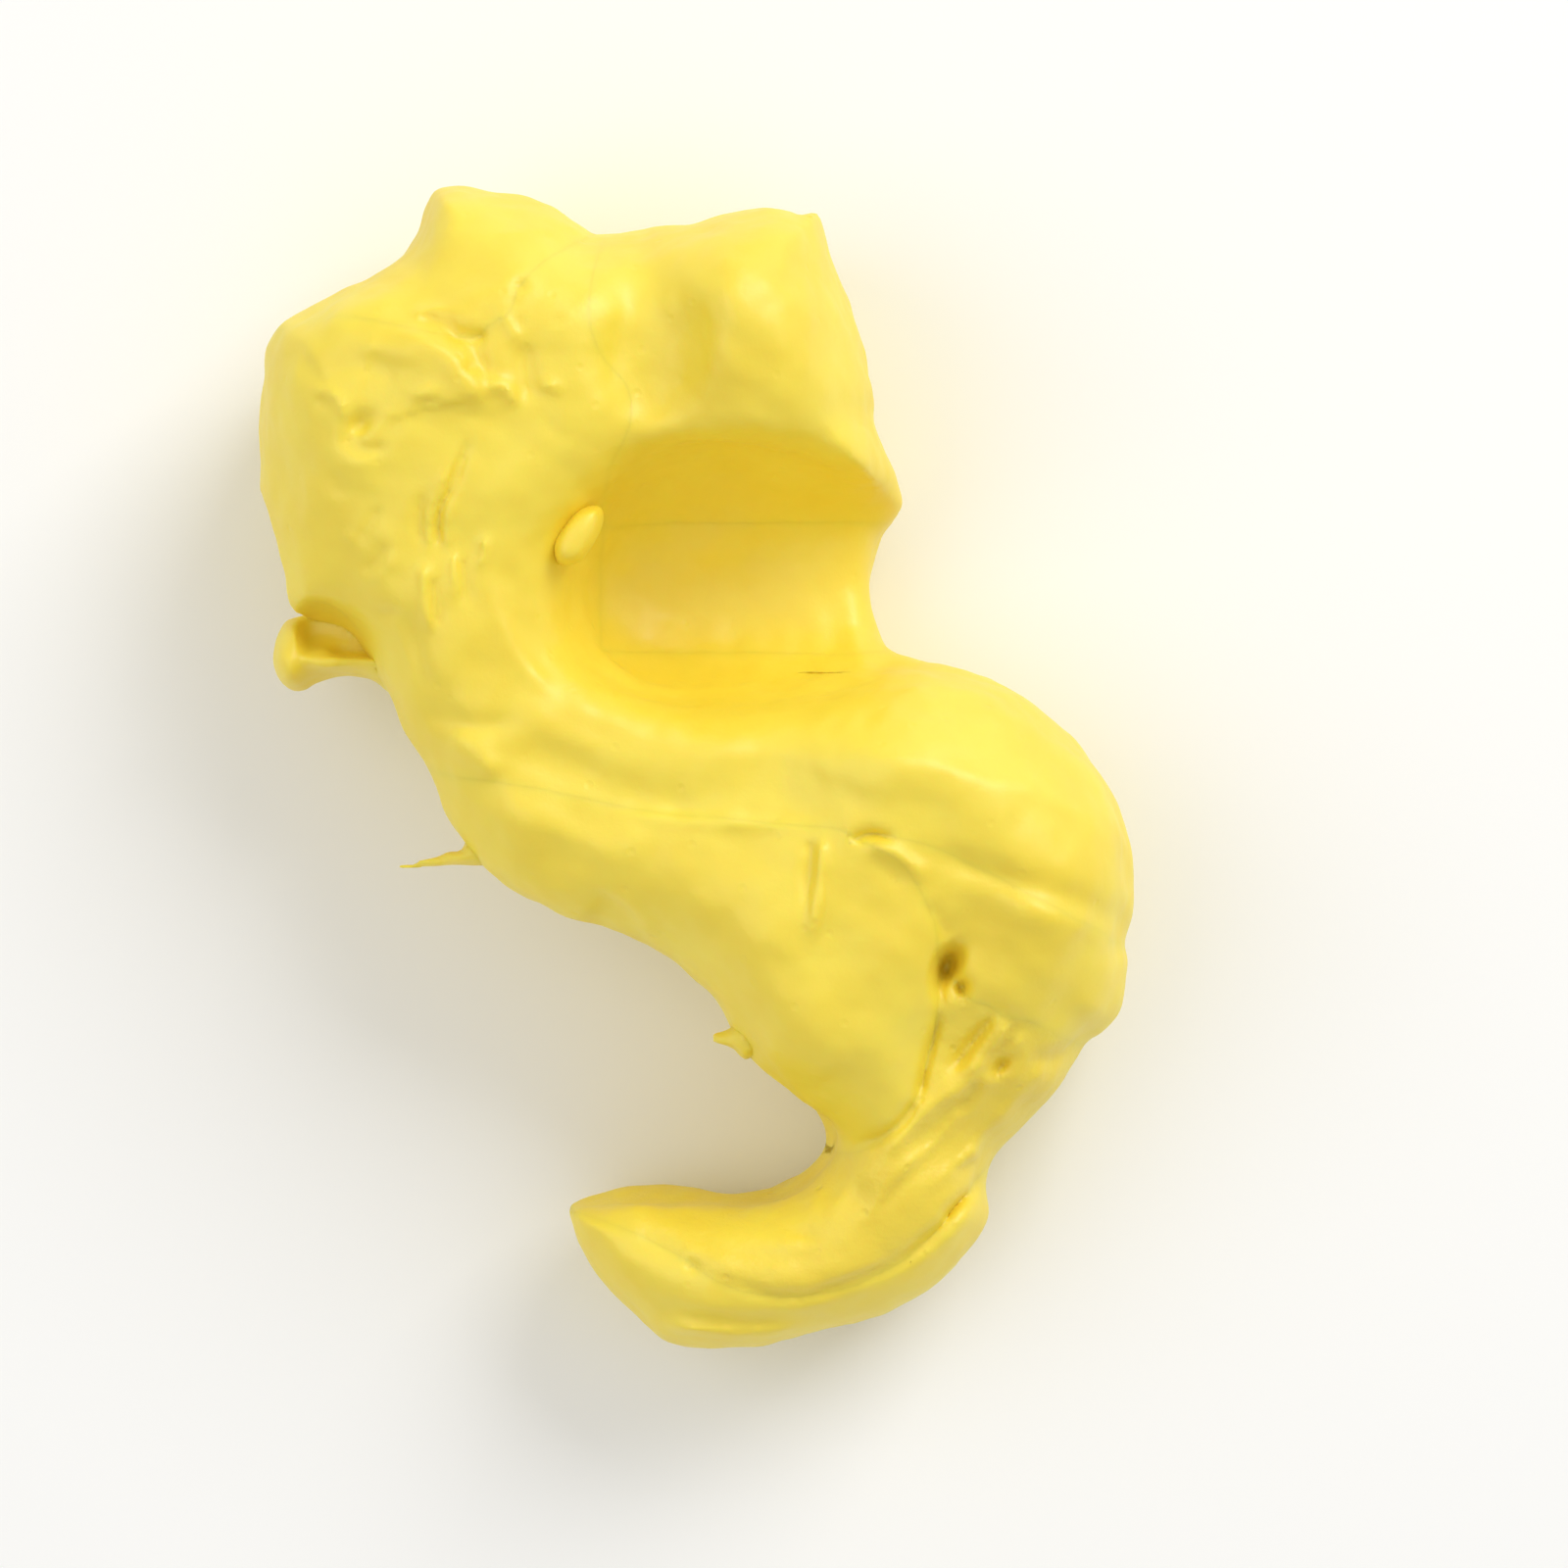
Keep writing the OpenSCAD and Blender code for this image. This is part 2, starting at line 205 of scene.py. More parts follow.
SHOULDER_EDGE = [(41.6, -27.1), (43.0, -25.7), (43.8, -23.4), (44.4, -20.0), (44.2, -17.8),
                 (44.9, -14.5), (45.0, -11.5), (44.3, -7.2), (42.9, -3.2), (40.0, 1.8),
                 (36.8, 5.0), (33.0, 7.7), (29.0, 9.7), (25.0, 10.8), (21.0, 11.2), (16.0, 10.5),
                 (7.0, 8.4), (2.0, 7.9), (-3.0, 8.3), (-7.0, 9.6), (-9.8, 11.5), (-11.2, 13.7),
                 (-11.5, 16.0), (-11.1, 18.8), (-9.9, 21.8), (-7.6, 24.6), (-3.4, 27.0),
                 (2.5, 28.3), (9.0, 28.3), (15.5, 27.2), (19.0, 26.4)]
S_OUTLINE = HEAD_EDGE + FINGER_EDGE + ROLL_EDGE + SHOULDER_EDGE
edge = outline(S_OUTLINE)
print("outline:", len(S_OUTLINE), "points, plan area", round((edge < 0).sum() * STEP**2), "mm2")

# %% [markdown]
# ## How high the dough stands
# Dough squeezed between fingers stands high where it had nowhere to go. A few control points
# give the height of the top, the height at which the side is widest, and how broad the rounding
# is; each grid point takes the mean of them, weighted by how near they are.

# %% Height maps
# x, y, top, widest, rounding, reach of the control point
CONTROLS = np.array([
    (-33, 36, 36.6, 15, 10, 7), (-22, 42, 37.5, 16, 12, 7), (-24, 55, 31.0, 17, 9, 5),
    (-41, 43, 33.5, 17, 5.5, 4), (-34, 46, 35.5, 16, 4.5, 3), (-12, 46, 37.5, 16, 11, 6),
    (-9, 53, 33.0, 17, 9, 4), (-40, 24, 33.0, 15, 12, 6), (6, 46, 38.6, 15, 10, 7),
    (11, 54, 36.0, 15, 8, 4),
    (17, 38, 36.0, 14, 9, 5), (17, 29, 34.0, 14, 6, 4), (3, 34, 36.0, 17, 6, 5),
    (-15, 32, 36.5, 17, 12, 7), (-26, 18, 34.5, 20, 10, 6), (-38, 17, 31.0, 18, 8, 4),
    (-15, 17, 34.0, 18, 10, 4), (-21, 6, 33.5, 22, 9.5, 5), (-8, 2, 33.6, 19, 6.0, 6),
    (8, 3, 34.2, 17, 7.0, 5), (22, 3, 36.4, 15, 13, 7), (34, -4, 35.2, 14, 14, 6),
    (40, -12, 36.0, 14, 13, 5), (34, -20, 33.0, 14, 12, 5), (37, -26, 30.0, 14, 9, 4),
    (-14, -9, 33.0, 24, 8.5, 5), (-2, -12, 34.5, 22, 10, 6), (10, -16, 36.0, 20, 11, 6),
    (13, -26, 35.0, 20, 10, 6), (15, -35, 30.0, 19, 8, 4), (27, -30, 27.5, 13, 10, 4),
    (29, -38, 25.0, 12, 8, 4), (20, -43, 26.5, 12, 9, 5), (6, -47, 26.5, 12.5, 8.5, 5),
    (-8, -48, 24.5, 12.5, 8, 5), (8, -55, 26.0, 12, 8, 4), (25, -50, 25.0, 12, 8, 4)])
cx, cy, *_, reach = (c[:, None, None] for c in CONTROLS.T)
weight = np.exp(-((PX - cx) ** 2 + (PY - cy) ** 2) / (1.3 * reach) ** 2) + 1e-12
TOP, WIDE, ROUND = ((weight * c[:, None, None]).sum(0) / weight.sum(0)
                    for c in CONTROLS.T[2:5])
print("top from", round(TOP[edge < 0].min(), 1), "to", round(TOP[edge < 0].max(), 1), "mm")

# %% [markdown]
# ## Creases, crests and folds
# The look of kneaded dough is in its relief. Four kinds of stroke are enough: a groove or a
# rounded ridge, a crest between two slopes, a fold where one layer stops over another, and
# a dent. Each adds to one height map, `relief`.

# %% Strokes
def taper(along, ends):
    """1 along the line, easing to 0 over the given share of its length at either end."""
    rise = ease(along / ends[0]) if ends[0] else 1
    return rise * (ease((1 - along) / ends[1]) if ends[1] else 1)


def stroke(points, width, lift, ends=(0.25, 0.25)):
    """A groove (lift below 0) or ridge: lift times exp of minus (distance over width) squared."""
    d, _, along = track(smooth(points))
    return lift * np.exp(-(d / width) ** 2) * taper(along, ends)


def crest(points, lift, left, right, ends=(0.2, 0.2), soft=0.6):
    """An edge between two slopes: it falls from lift exponentially, over the left reach on one
    side and the right reach on the other, with its tip rounded over soft."""
    d, side, along = track(smooth(points))
    fall = np.where(side > 0, left, right)
    return lift * np.exp(-(np.sqrt(d * d + soft * soft) - soft) / fall) * taper(along, ends)


def fold(points, drop, reach, ends=(0.2, 0.2), soft=0.35):
    """A layer that stops at the line: the side to the right of it lies lower by drop, and comes
    back up over the reach."""
    d, side, along = track(smooth(points))
    s = -d * side
    step = ease(0.5 + s / (2 * soft))
    return -drop * step * np.exp(-np.maximum(s, 0) / reach) * taper(along, ends)


def dent(x, y, rx, ry, turn, depth, power=2):
    """A hollow with an elliptical rim: depth times exp of minus the elliptical distance to a
    power; a high power gives a flat floor."""
    c, s = math.cos(math.radians(turn)), math.sin(math.radians(turn))
    u, v = (PX - x) * c + (PY - y) * s, (PY - y) * c - (PX - x) * s
    return -depth * np.exp(-np.hypot(u / rx, v / ry) ** power)


relief = np.zeros(PX.shape)

# %% [markdown]
# The head. Its right block has a flat, bright top that ends in a straight edge over a scooped
# side. Its left side is a swirl: curved wrinkles round a small crater, with a row of pits where
# three lobes of dough met.

# %% Relief of the head
CREST_SEAM = [(-60, 47.2), (-47, 45.6), (-42.5, 44.4), (-38, 45.2), (-32, 44.7), (-27, 43.6),
              (-22.4, 42.9), (-20, 44.2), (-18.2, 45.6), (-17.3, 48.0), (-14.6, 51.0),
              (-11.4, 53.4), (-10.1, 55.0), (-9.4, 62)]
relief += crest([(-2.2, 54.6), (-1.3, 51.1), (0.3, 48.3), (1.8, 45.7), (2.6, 42.7), (1.6, 38.6),
                 (-0.5, 34.0)], 2.3, 14, 5.5, (0.15, 0.3), 0.7)
relief += dent(-3.6, 43.4, 5.4, 9.2, -12, 3.6, 3.4)
relief += crest([(-25.3, 60), (-25.6, 56.0), (-25.4, 52.0), (-24.0, 47.5)], 2.2, 13, 3.6, (0, 0.5), 0.8)
relief += crest([(-43.0, 43.6), (-40.8, 45.8), (-36.0, 46.7), (-31.0, 46.4), (-27.7, 45.0)], 1.1, 3, 6,
                (0.15, 0.25), 0.8)
relief += dent(-39.6, 42.0, 5.0, 3.4, 20, 0.6)
relief += crest([(-33.5, 43.5), (-29.3, 43.2), (-27.3, 42.6), (-25.2, 41.5), (-23.5, 39.9), (-22.2, 38.3),
                 (-21.4, 36.8), (-21.7, 34.6)], 1.7, 1.3, 5.0, (0.4, 0.2), 0.3)
relief += dent(-23.4, 43.2, 2.6, 1.1, -20, 1.1)
relief += dent(-21.2, 40.4, 0.9, 2.2, 28, 0.9)
HEAD_WRINKLES = [
    ([(-20.8, 37.4), (-19.4, 38.1), (-18.3, 37.5), (-17.5, 35.7)], 0.75, 1.3),
    ([(-17.0, 42.6), (-16.6, 39.6), (-16.3, 36.0)], 1.0, -0.9),
    ([(-19.6, 45.4), (-18.2, 44.0), (-17.6, 42.2)], 0.6, 0.7),
    ([(-15.6, 38.5), (-14.0, 38.0), (-12.8, 37.4)], 0.5, 0.8),
    ([(-28.2, 45.3), (-26.4, 45.9), (-24.7, 45.6)], 0.55, 1.0),
    ([(-27.6, 44.6), (-25.6, 44.6), (-23.0, 44.0)], 0.8, -0.6),
    ([(-37.0, 40.0), (-33.0, 39.9), (-28.4, 38.9)], 1.3, -0.55),
    ([(-34.0, 42.0), (-30.0, 41.6), (-27.0, 40.2)], 0.9, 0.4),
    ([(-38.4, 38.0), (-36.6, 37.5), (-35.2, 36.6), (-35.0, 34.4)], 0.5, 0.8),
    ([(-37.6, 37.0), (-36.2, 36.4)], 0.5, -0.6),
    ([(-27.9, 36.3), (-26.8, 37.3), (-25.0, 37.4)], 0.5, 0.8),
    ([(-27.6, 35.7), (-26.4, 36.5), (-24.8, 36.4)], 0.5, -0.6),
    ([(-35.2, 33.3), (-33.6, 32.0), (-31.4, 31.6)], 0.6, -0.7),
    ([(-35.0, 30.9), (-33.0, 30.4), (-31.0, 31.0)], 0.7, 0.35),
    ([(-14.8, 35.0), (-13.4, 33.0), (-11.6, 33.6)], 0.6, -0.35),
    ([(-35.8, 30.0), (-35.5, 27.0)], 0.9, -0.5),
    ([(-31.2, 26.4), (-32.6, 24.0), (-33.8, 22.4)], 0.6, -0.6),
    ([(-30.4, 22.8), (-31.6, 21.0), (-33.2, 19.4)], 0.6, -0.7),
    ([(-29.6, 21.8), (-30.6, 20.2), (-32.2, 18.6)], 0.5, 0.5),
    ([(-35.2, 23.5), (-33.9, 22.8)], 0.5, 0.6)]
WRINKLE_SHARE = 0.7
for points, width, lift in HEAD_WRINKLES:
    relief += stroke(points, width, WRINKLE_SHARE * lift)
relief += dent(-33.2, 34.3, 1.5, 0.9, 40, 1.4)
# x, y, radius and depth of each pit
for x, y, r, depth in [(-21.1, 43.0, 0.65, 1.2), (-23.7, 42.7, 0.7, 0.6), (-22.4, 39.8, 0.6, 0.8),
                       (-31.3, 31.9, 0.55, 0.7), (-17.3, 48.0, 0.6, 1.0), (-17.9, 46.6, 0.45, 0.5),
                       (-17.2, 44.3, 0.5, 0.6), (-11.2, 53.4, 0.65, 0.9), (-10.1, 53.6, 0.5, 0.6),
                       (16.7, 34.6, 0.5, 0.8), (-1.4, 38.6, 0.45, 0.5), (-13.6, 44.6, 0.45, 0.5)]:
    relief += dent(x, y, r, r * 0.8, 20, depth)

# %% [markdown]
# The neck and the band. Long fine wrinkles run down the neck and follow the curl into the
# tongue, as in any dough that is pulled while it bends.

# %% Relief of the neck and band
LONG_WRINKLES = [
    ([(-22.2, 33.6), (-22.9, 31.3), (-23.9, 28.8), (-25.2, 25.9), (-25.6, 23.8), (-25.4, 20.8)],
     0.45, -0.9),
    ([(-23.6, 31.0), (-25.2, 27.6), (-26.3, 24.6), (-26.2, 21.0)], 0.55, 0.6),
    ([(-24.0, 27.4), (-24.6, 24.8), (-24.5, 21.5)], 0.5, 0.45),
    ([(-27.1, 27.9), (-27.3, 25.0), (-26.9, 21.5)], 0.5, -0.5),
    ([(-26.8, 21.0), (-26.8, 17.5), (-26.3, 13.2)], 0.5, 0.75),
    ([(-26.0, 19.6), (-25.9, 16.5), (-25.5, 13.5)], 0.5, -0.5),
    ([(-23.9, 22.0), (-23.8, 19.5), (-23.5, 16.8)], 0.45, 0.6),
    ([(-23.1, 21.6), (-22.9, 18.6), (-22.4, 16.0)], 0.45, -0.55),
    ([(-21.0, 23.4), (-20.8, 21.6), (-21.6, 19.8)], 0.5, 0.6),
    ([(-31.8, 16.4), (-30.6, 15.4), (-29.3, 16.4)], 0.5, -0.6),
    ([(-28.9, 17.0), (-27.8, 12.0), (-26.2, 7.0)], 0.9, -0.45),
    ([(-20.6, 19.6), (-19.6, 15.0), (-16.4, 10.0), (-13.0, 7.4)], 0.9, 0.3),
    ([(-18.4, 22.0), (-17.6, 16.0), (-15.2, 10.6), (-11.5, 6.2)], 0.9, -0.3),
    ([(-28.0, 5.8), (-22.0, 4.4), (-17.0, 4.6)], 1.1, -0.6),
    ([(-22.0, 2.0), (-16.6, 1.2), (-9.8, -1.0), (-4.5, -3.0), (5.0, -4.0)], 1.9, -0.75),
    ([(-24.6, 3.4), (-22.0, 1.6), (-19.8, -1.2)], 1.2, 0.8),
    ([(-19.0, 6.4), (-12.0, 3.0), (-4.0, 1.0), (4.0, 0.6)], 1.4, 0.25)]
for points, width, lift in LONG_WRINKLES:
    relief += stroke(points, width, lift)
relief += crest([(-36.6, 18.0), (-34.4, 15.6), (-32.7, 12.0), (-30.3, 7.5), (-28.0, 3.5)], 0.9, 2.6, 1.4,
                (0.2, 0.4), 0.5)
relief += dent(-37.6, 14.7, 3.3, 1.7, -14, 5.0, 3)
CREASE = [(-40, 3.0), (-30, 0.8), (-24.6, -0.6), (-21.0, -1.2), (-16.0, -1.9), (-9.0, -3.4),
          (-2.0, -4.6), (4.5, -5.0), (10.0, -5.5), (14.4, -6.0), (16.4, -7.2)]
relief += stroke([(-9.0, -4.3), (0.0, -5.3), (7.0, -5.6), (13.0, -6.0)], 0.6, 0.5)
relief += stroke([(-22.5, -2.6), (-18.0, -4.6), (-11.0, -6.8), (-3.0, -8.6)], 2.2, 0.7)
relief += fold([(-11.4, -11.6), (-8.6, -12.6), (-6.2, -14.6), (-4.6, -17.6)], 1.0, 4.0, (0.35, 0.0))

# %% [markdown]
# The shoulder and the heel. The shoulder's bright upper slope ends in a long soft edge, with a
# flatter slope below it that tucks under a hook-shaped fold.

# %% Relief of the shoulder and heel
HOOK = [(16.4, -7.2), (16.9, -6.6), (18.4, -6.5), (21.0, -7.0), (24.2, -7.9), (28.3, -9.8),
        (32.0, -11.7), (36.0, -13.8), (40.5, -16.2), (44.6, -18.4), (60, -24)]
relief += crest([(8.0, 4.6), (12.0, 2.9), (16.0, 1.7), (20.0, 0.9), (25.4, -0.2), (30.0, -1.4),
                 (34.0, -2.6), (38.0, -4.0), (42.3, -5.6), (46.0, -7.4)], 3.0, 8.0, 12, (0.35, 0.1), 0.5)
relief += stroke([(4.0, -2.4), (12.0, -2.8), (20.0, -3.6), (28.0, -6.0)], 2.6, -0.6)
relief += stroke([(12.7, -6.8), (12.6, -9.8), (12.2, -14.0), (11.3, -19.0)], 0.5, 1.0, (0.1, 0.4))
relief += stroke([(11.7, -7.0), (11.6, -10.0), (11.0, -15.0)], 0.6, -0.8, (0.1, 0.5))
relief += stroke([(16.0, -7.4), (16.6, -6.7), (18.0, -6.5), (20.5, -7.1)], 0.5, -1.5, (0.1, 0.4))
relief += stroke([(17.4, -7.6), (19.6, -8.3), (22.0, -9.8), (23.6, -11.8)], 0.8, 0.9, (0.2, 0.4))
relief += stroke([(17.0, -8.6), (19.2, -9.8), (21.4, -11.8)], 0.6, -0.25, (0.2, 0.4))
relief += stroke([(21.0, -7.4), (26.0, -9.2), (32.0, -11.2), (38.0, -13.2), (44.6, -15.8)], 1.5, -1.0,
                 (0.3, 0.05))
relief += crest([(28.0, -11.6), (32.0, -13.2), (36.0, -14.9), (40.0, -16.4), (44.0, -17.8)], 1.5, 1.8, 7.0,
                (0.4, 0.15), 0.9)
relief += stroke([(23.2, -13.0), (24.4, -15.0), (25.2, -17.0)], 0.7, -0.6, (0.3, 0.1))
relief += dent(28.0, -20.0, 4.5, 6.0, 20, 1.0)
relief += dent(41.5, -27.5, 1.6, 1.2, 30, 1.2)

# %% [markdown]
# The tongue lies over the torn flap. Between them is a deep crevice that opens into a dark
# pocket near its top.

# %% Relief of the tongue
TONGUE_RIM = [(16.4, -7.2), (19.4, -8.6), (22.2, -11.6), (23.8, -15.0), (24.4, -18.6), (24.2, -23.0),
              (23.8, -27.5), (22.8, -31.4), (21.0, -35.0), (18.8, -37.6), (16.2, -38.8), (14.0, -39.0)]
relief += crest([(22.0, -11.5), (23.3, -15.0), (23.6, -19.0), (23.4, -24.0), (22.6, -29.0)], 0.6, 2.5, 5.0,
                (0.3, 0.3), 1.0)
relief += dent(3.0, -13.5, 6.0, 4.5, -20, -0.7)
relief += dent(15.5, -22.0, 5.0, 8.0, 10, 0.7)
relief += stroke([(2.0, -16.0), (8.0, -22.0), (12.0, -29.0), (15.5, -34.6)], 3.4, 0.6)
POCKET = [(25.3, -19.8, 1.05, 2.0, -27, 6.0), (26.8, -21.8, 0.85, 0.9, 0, 2.6),
          (24.7, -22.4, 0.8, 1.2, 0, 1.4)]
for spot in POCKET:
    relief += dent(*spot, 2.6)
relief += stroke([(24.5, -22.5), (24.3, -25.5), (23.7, -28.0), (23.0, -31.0), (22.1, -34.0)], 0.6, -1.7,
                 (0.3, 0.2))
relief += stroke([(22.6, -32.6), (20.8, -35.5), (18.3, -37.3), (15.0, -38.4)], 0.7, -1.3, (0.2, 0.4))

# %% [markdown]
# The torn flap. Where the dough was pulled apart it drew out into strands, each a little ridge
# with a ragged groove beside it, all running the way of the pull.

# %% Relief of the torn flap
strand_way = np.array([-0.64, -0.77])
across = PX * strand_way[1] - PY * strand_way[0]
lengthwise = PX * strand_way[0] + PY * strand_way[1]
bend = 0.8 * np.sin(lengthwise / 4.3) + 0.35 * np.sin(lengthwise / 1.9 + 1)
strands = (0.55 * np.sin((across + bend) * 2 * math.pi / 3.1)
           + 0.30 * np.sin((across + 0.6 * bend) * 2 * math.pi / 1.7 + 2)
           + 0.16 * np.sin((across - 0.5 * bend) * 2 * math.pi / 1.15 + 4))
FLAP = [(25.2, -24.0), (29.0, -24.0), (33.0, -25.6), (38.0, -29.0), (36.0, -34.0), (31.0, -39.5),
        (26.5, -43.0), (19.0, -46.0), (11.0, -44.5), (13.0, -41.5), (18.5, -38.6), (22.8, -33.8),
        (24.6, -28.5)]
FLAP_RIM, STRAND_LIFT = 3, 0.45
torn = ease(-outline(FLAP) / FLAP_RIM)
relief += strands * torn * STRAND_LIFT
# points, width and lift of each strand or split
for points, width, lift in [
        ([(30.4, -24.2), (28.8, -26.7), (27.2, -28.7), (25.4, -31.0)], 0.42, -1.2),
        ([(32.7, -25.4), (31.0, -27.8), (28.8, -30.0)], 0.42, -1.0),
        ([(31.0, -24.0), (29.4, -26.8), (27.4, -29.4)], 0.4, 0.6),
        ([(29.0, -31.4), (27.8, -33.2), (26.4, -35.0)], 0.5, -1.4),
        ([(32.0, -25.2), (30.6, -27.3), (29.0, -29.2), (26.4, -31.4)], 0.7, 1.1),
        ([(32.8, -27.6), (29.6, -30.6), (26.4, -32.6), (23.5, -34.7), (19.9, -37.9), (16.0, -41.0)],
         1.2, 1.2),
        ([(28.7, -38.4), (26.2, -40.6)], 0.5, 0.8), ([(28.2, -39.3), (26.2, -41.2)], 0.5, -0.8),
        ([(25.0, -45.8), (26.4, -44.2), (27.6, -42.6)], 0.5, -1.3),
        ([(27.9, -43.6), (29.2, -41.4)], 0.45, -1.1),
        ([(33.0, -30.0), (32.2, -33.0), (30.6, -37.0)], 1.0, 0.7)]:
    relief += stroke(points, width, lift, (0.2, 0.3))
relief += dent(31.0, -29.8, 0.65, 1.5, -45, 3.2)
relief += stroke([(33.2, -29.4), (36.0, -29.2), (39.0, -28.4), (41.4, -27.6)], 1.1, -1.5, (0.3, 0.1))
relief += stroke([(27.8, -22.8), (30.4, -24.0), (33.0, -25.8), (35.0, -28.0)], 0.9, -0.6, (0.2, 0.3))

# %% [markdown]
# The bottom roll. The last of the dough was rolled over itself by the little finger: one long
# crescent crease parts the roll from the fold above, with fainter ones beside it.

# %% Relief of the roll
CRESCENT = [(-60, -45), (-20, -44.6), (-13.2, -45.2), (-9.0, -46.1), (-5.0, -47.6), (-1.0, -49.7),
            (1.4, -51.4), (4.6, -52.8), (9.2, -53.4), (15.3, -52.7), (20.4, -50.4), (23.5, -47.8),
            (26.4, -44.4), (28.8, -41.9), (31.0, -40.4), (36.0, -41.4), (60, -45)]
relief += stroke([(0.2, -50.4), (4.6, -52.3), (9.6, -53.2), (15.6, -52.0), (20.4, -50.2), (23.5, -47.7),
                  (28.0, -42.6)], 0.6, -0.9, (0.35, 0.1))
relief += stroke([(20.0, -50.2), (23.6, -47.4), (26.4, -44.4), (29.2, -41.6)], 0.6, -0.9, (0.3, 0.2))
relief += dent(-0.3, -50.2, 0.7, 0.5, -30, 0.9)
relief += crest([(0.4, -49.4), (5.0, -51.2), (10.0, -51.9), (15.5, -50.9), (20.0, -48.8)], 0.5, 5.0, 1.2,
                soft=0.5)
relief += stroke([(2.0, -44.2), (5.0, -45.6), (9.2, -46.9), (14.0, -47.2)], 0.9, -0.6)
relief += stroke([(-4.4, -45.6), (2.0, -48.2), (9.0, -49.4), (16.0, -48.4)], 0.8, -0.35)
relief += stroke([(-6.0, -46.8), (-3.2, -48.2), (-0.6, -49.6)], 0.8, -0.35)
relief += stroke([(-5.6, -55.9), (-1.6, -56.8), (4.4, -57.3), (9.4, -56.9), (13.6, -55.9)], 0.6, 1.2,
                 (0.3, 0.3))
relief += stroke([(-4.6, -54.6), (0.0, -55.5), (5.4, -55.9), (11.0, -55.3)], 0.8, -0.7, (0.3, 0.3))
relief += dent(18.0, -43.5, 6.0, 4.0, 35, -0.9)
relief += stroke([(14.4, -41.0), (19.0, -40.6), (23.5, -38.0)], 1.6, 0.9, (0.3, 0.3))
SOFTEN = 0.22
relief = blur(relief, SOFTEN)
print("relief from", round(relief.min(), 1), "to", round(relief.max(), 1), "mm")

# %% [markdown]
# ## From maps to a body of dough
# The side of the lump is a quarter of an ellipse that rises from the outline to the top over
# the rounding. In space that is a field: the squared height share less the squared share of the
# way in, zero on the skin and negative in the dough, divided by its own slope so that it reads
# as a distance in millimetres. The underside is softer than the top, because it filled the palm:
# there the field fades into that of a blurred outline, which has no sharp corners.

# %% The field of the lump
UNDER = 21.0
LEAST_RISE = 4
FULL_SHIFT = 0.55
LEAST_SLOPE = 0.03
FIELD_LIMIT = 9


def swell(depth, top, wide, rounding, under=UNDER, shift=0.0):
    """Field of a rounded slab: depth is how far inside the outline each grid point is. The
    shift lifts the skin, in full from a share of the way up and not at all at the widest line."""
    share = np.clip(depth / rounding, -0.6, 1)
    way_in = 1 - (1 - share) ** 2
    slope = 2 * (1 - share) / rounding
    up = np.maximum(top - wide, LEAST_RISE)[..., None]
    z = Z - wide[..., None]
    z = z - shift * np.clip(z / (FULL_SHIFT * up), 0, 1) if np.ndim(shift) else z
    size = np.where(z > 0, up, under)
    field = (z / size) ** 2 - way_in[..., None]
    steep = np.sqrt((2 * z / size**2) ** 2 + slope[..., None] ** 2 + LEAST_SLOPE**2)
    return np.clip(field / steep, -FIELD_LIMIT, FIELD_LIMIT).astype(np.float32)


def join(a, b, k):
    """Smooth union: the lower of two fields, less a quarter of k times the squared overlap."""
    return np.minimum(a, b) - k / 4 * np.maximum(1 - np.abs(a - b) / k, 0) ** 2


def cut(a, b, k):
    """Smooth intersection: the higher of two fields, rounded over k in the same way."""
    return np.maximum(a, b) + k / 4 * np.maximum(1 - np.abs(a - b) / k, 0) ** 2


# a distance has sharp ridges where two edges are equally near, so deep inside it is blurred
RIDGE_BLUR, LOW_BLUR, LOW_FADE = 2.2, 3.5, 10
depth_in = -edge
soft_in = blur(np.maximum(depth_in, 0), RIDGE_BLUR)
mix = ease((depth_in - 2.0) / 5)
depth_in = np.where(depth_in > 0, depth_in * (1 - mix) + soft_in * mix, depth_in)
lump = swell(depth_in, TOP, WIDE, ROUND, shift=relief[..., None])
soft_lump = swell(-blur(edge, LOW_BLUR), TOP, WIDE, ROUND, shift=relief[..., None])
down = ease((WIDE[..., None] - 1.0 - Z) / LOW_FADE)
lump = (lump * (1 - down) + soft_lump * down).astype(np.float32)
print("lump field:", lump.shape, round(float((lump < 0).mean()), 3), "of the grid is dough")

# %% [markdown]
# ## The web, and the prints of the hand
# The thumb pressed a hollow down to a web of dough, and the fingers pressed in from the left.
# A print is the space within a fixed distance of the digit's own line; taking it away from the
# lump leaves a rounded trough, and thin fins stand where two fingers nearly met.

# %% Web and prints
WEB = [(-13, 6), (-2, 3), (12, 4), (21.0, 7.5), (19.8, 11.5), (18.4, 15.5), (18.0, 19.5), (18.8, 23.5),
       (20.2, 27.2), (17, 33), (4, 34), (-10, 30), (-16, 18)]
web_edge = outline(WEB)
flat = np.ones(PX.shape)
WEB_TOP, WEB_WIDE, WEB_ROUND = 25.0, 8.0, 7.0
web = swell(-web_edge, WEB_TOP * flat, WEB_WIDE * flat, WEB_ROUND * flat)
THUMB_R, FINGER_R = 9.0, 8.5
THUMB_LOW, FINGER_Z = 23.0, 16.0
KNUCKLE_R, KNUCKLE_LOW = 11.2, 30.0


def print_of(points, r, height, open_above=False):
    """Field of a digit's print: r less the distance to its line, so positive inside it."""
    d = track(np.array(points, float))[0][..., None]
    z = Z - height
    z = np.minimum(z, 0) if open_above else z
    return r - np.sqrt(d * d + z * z)


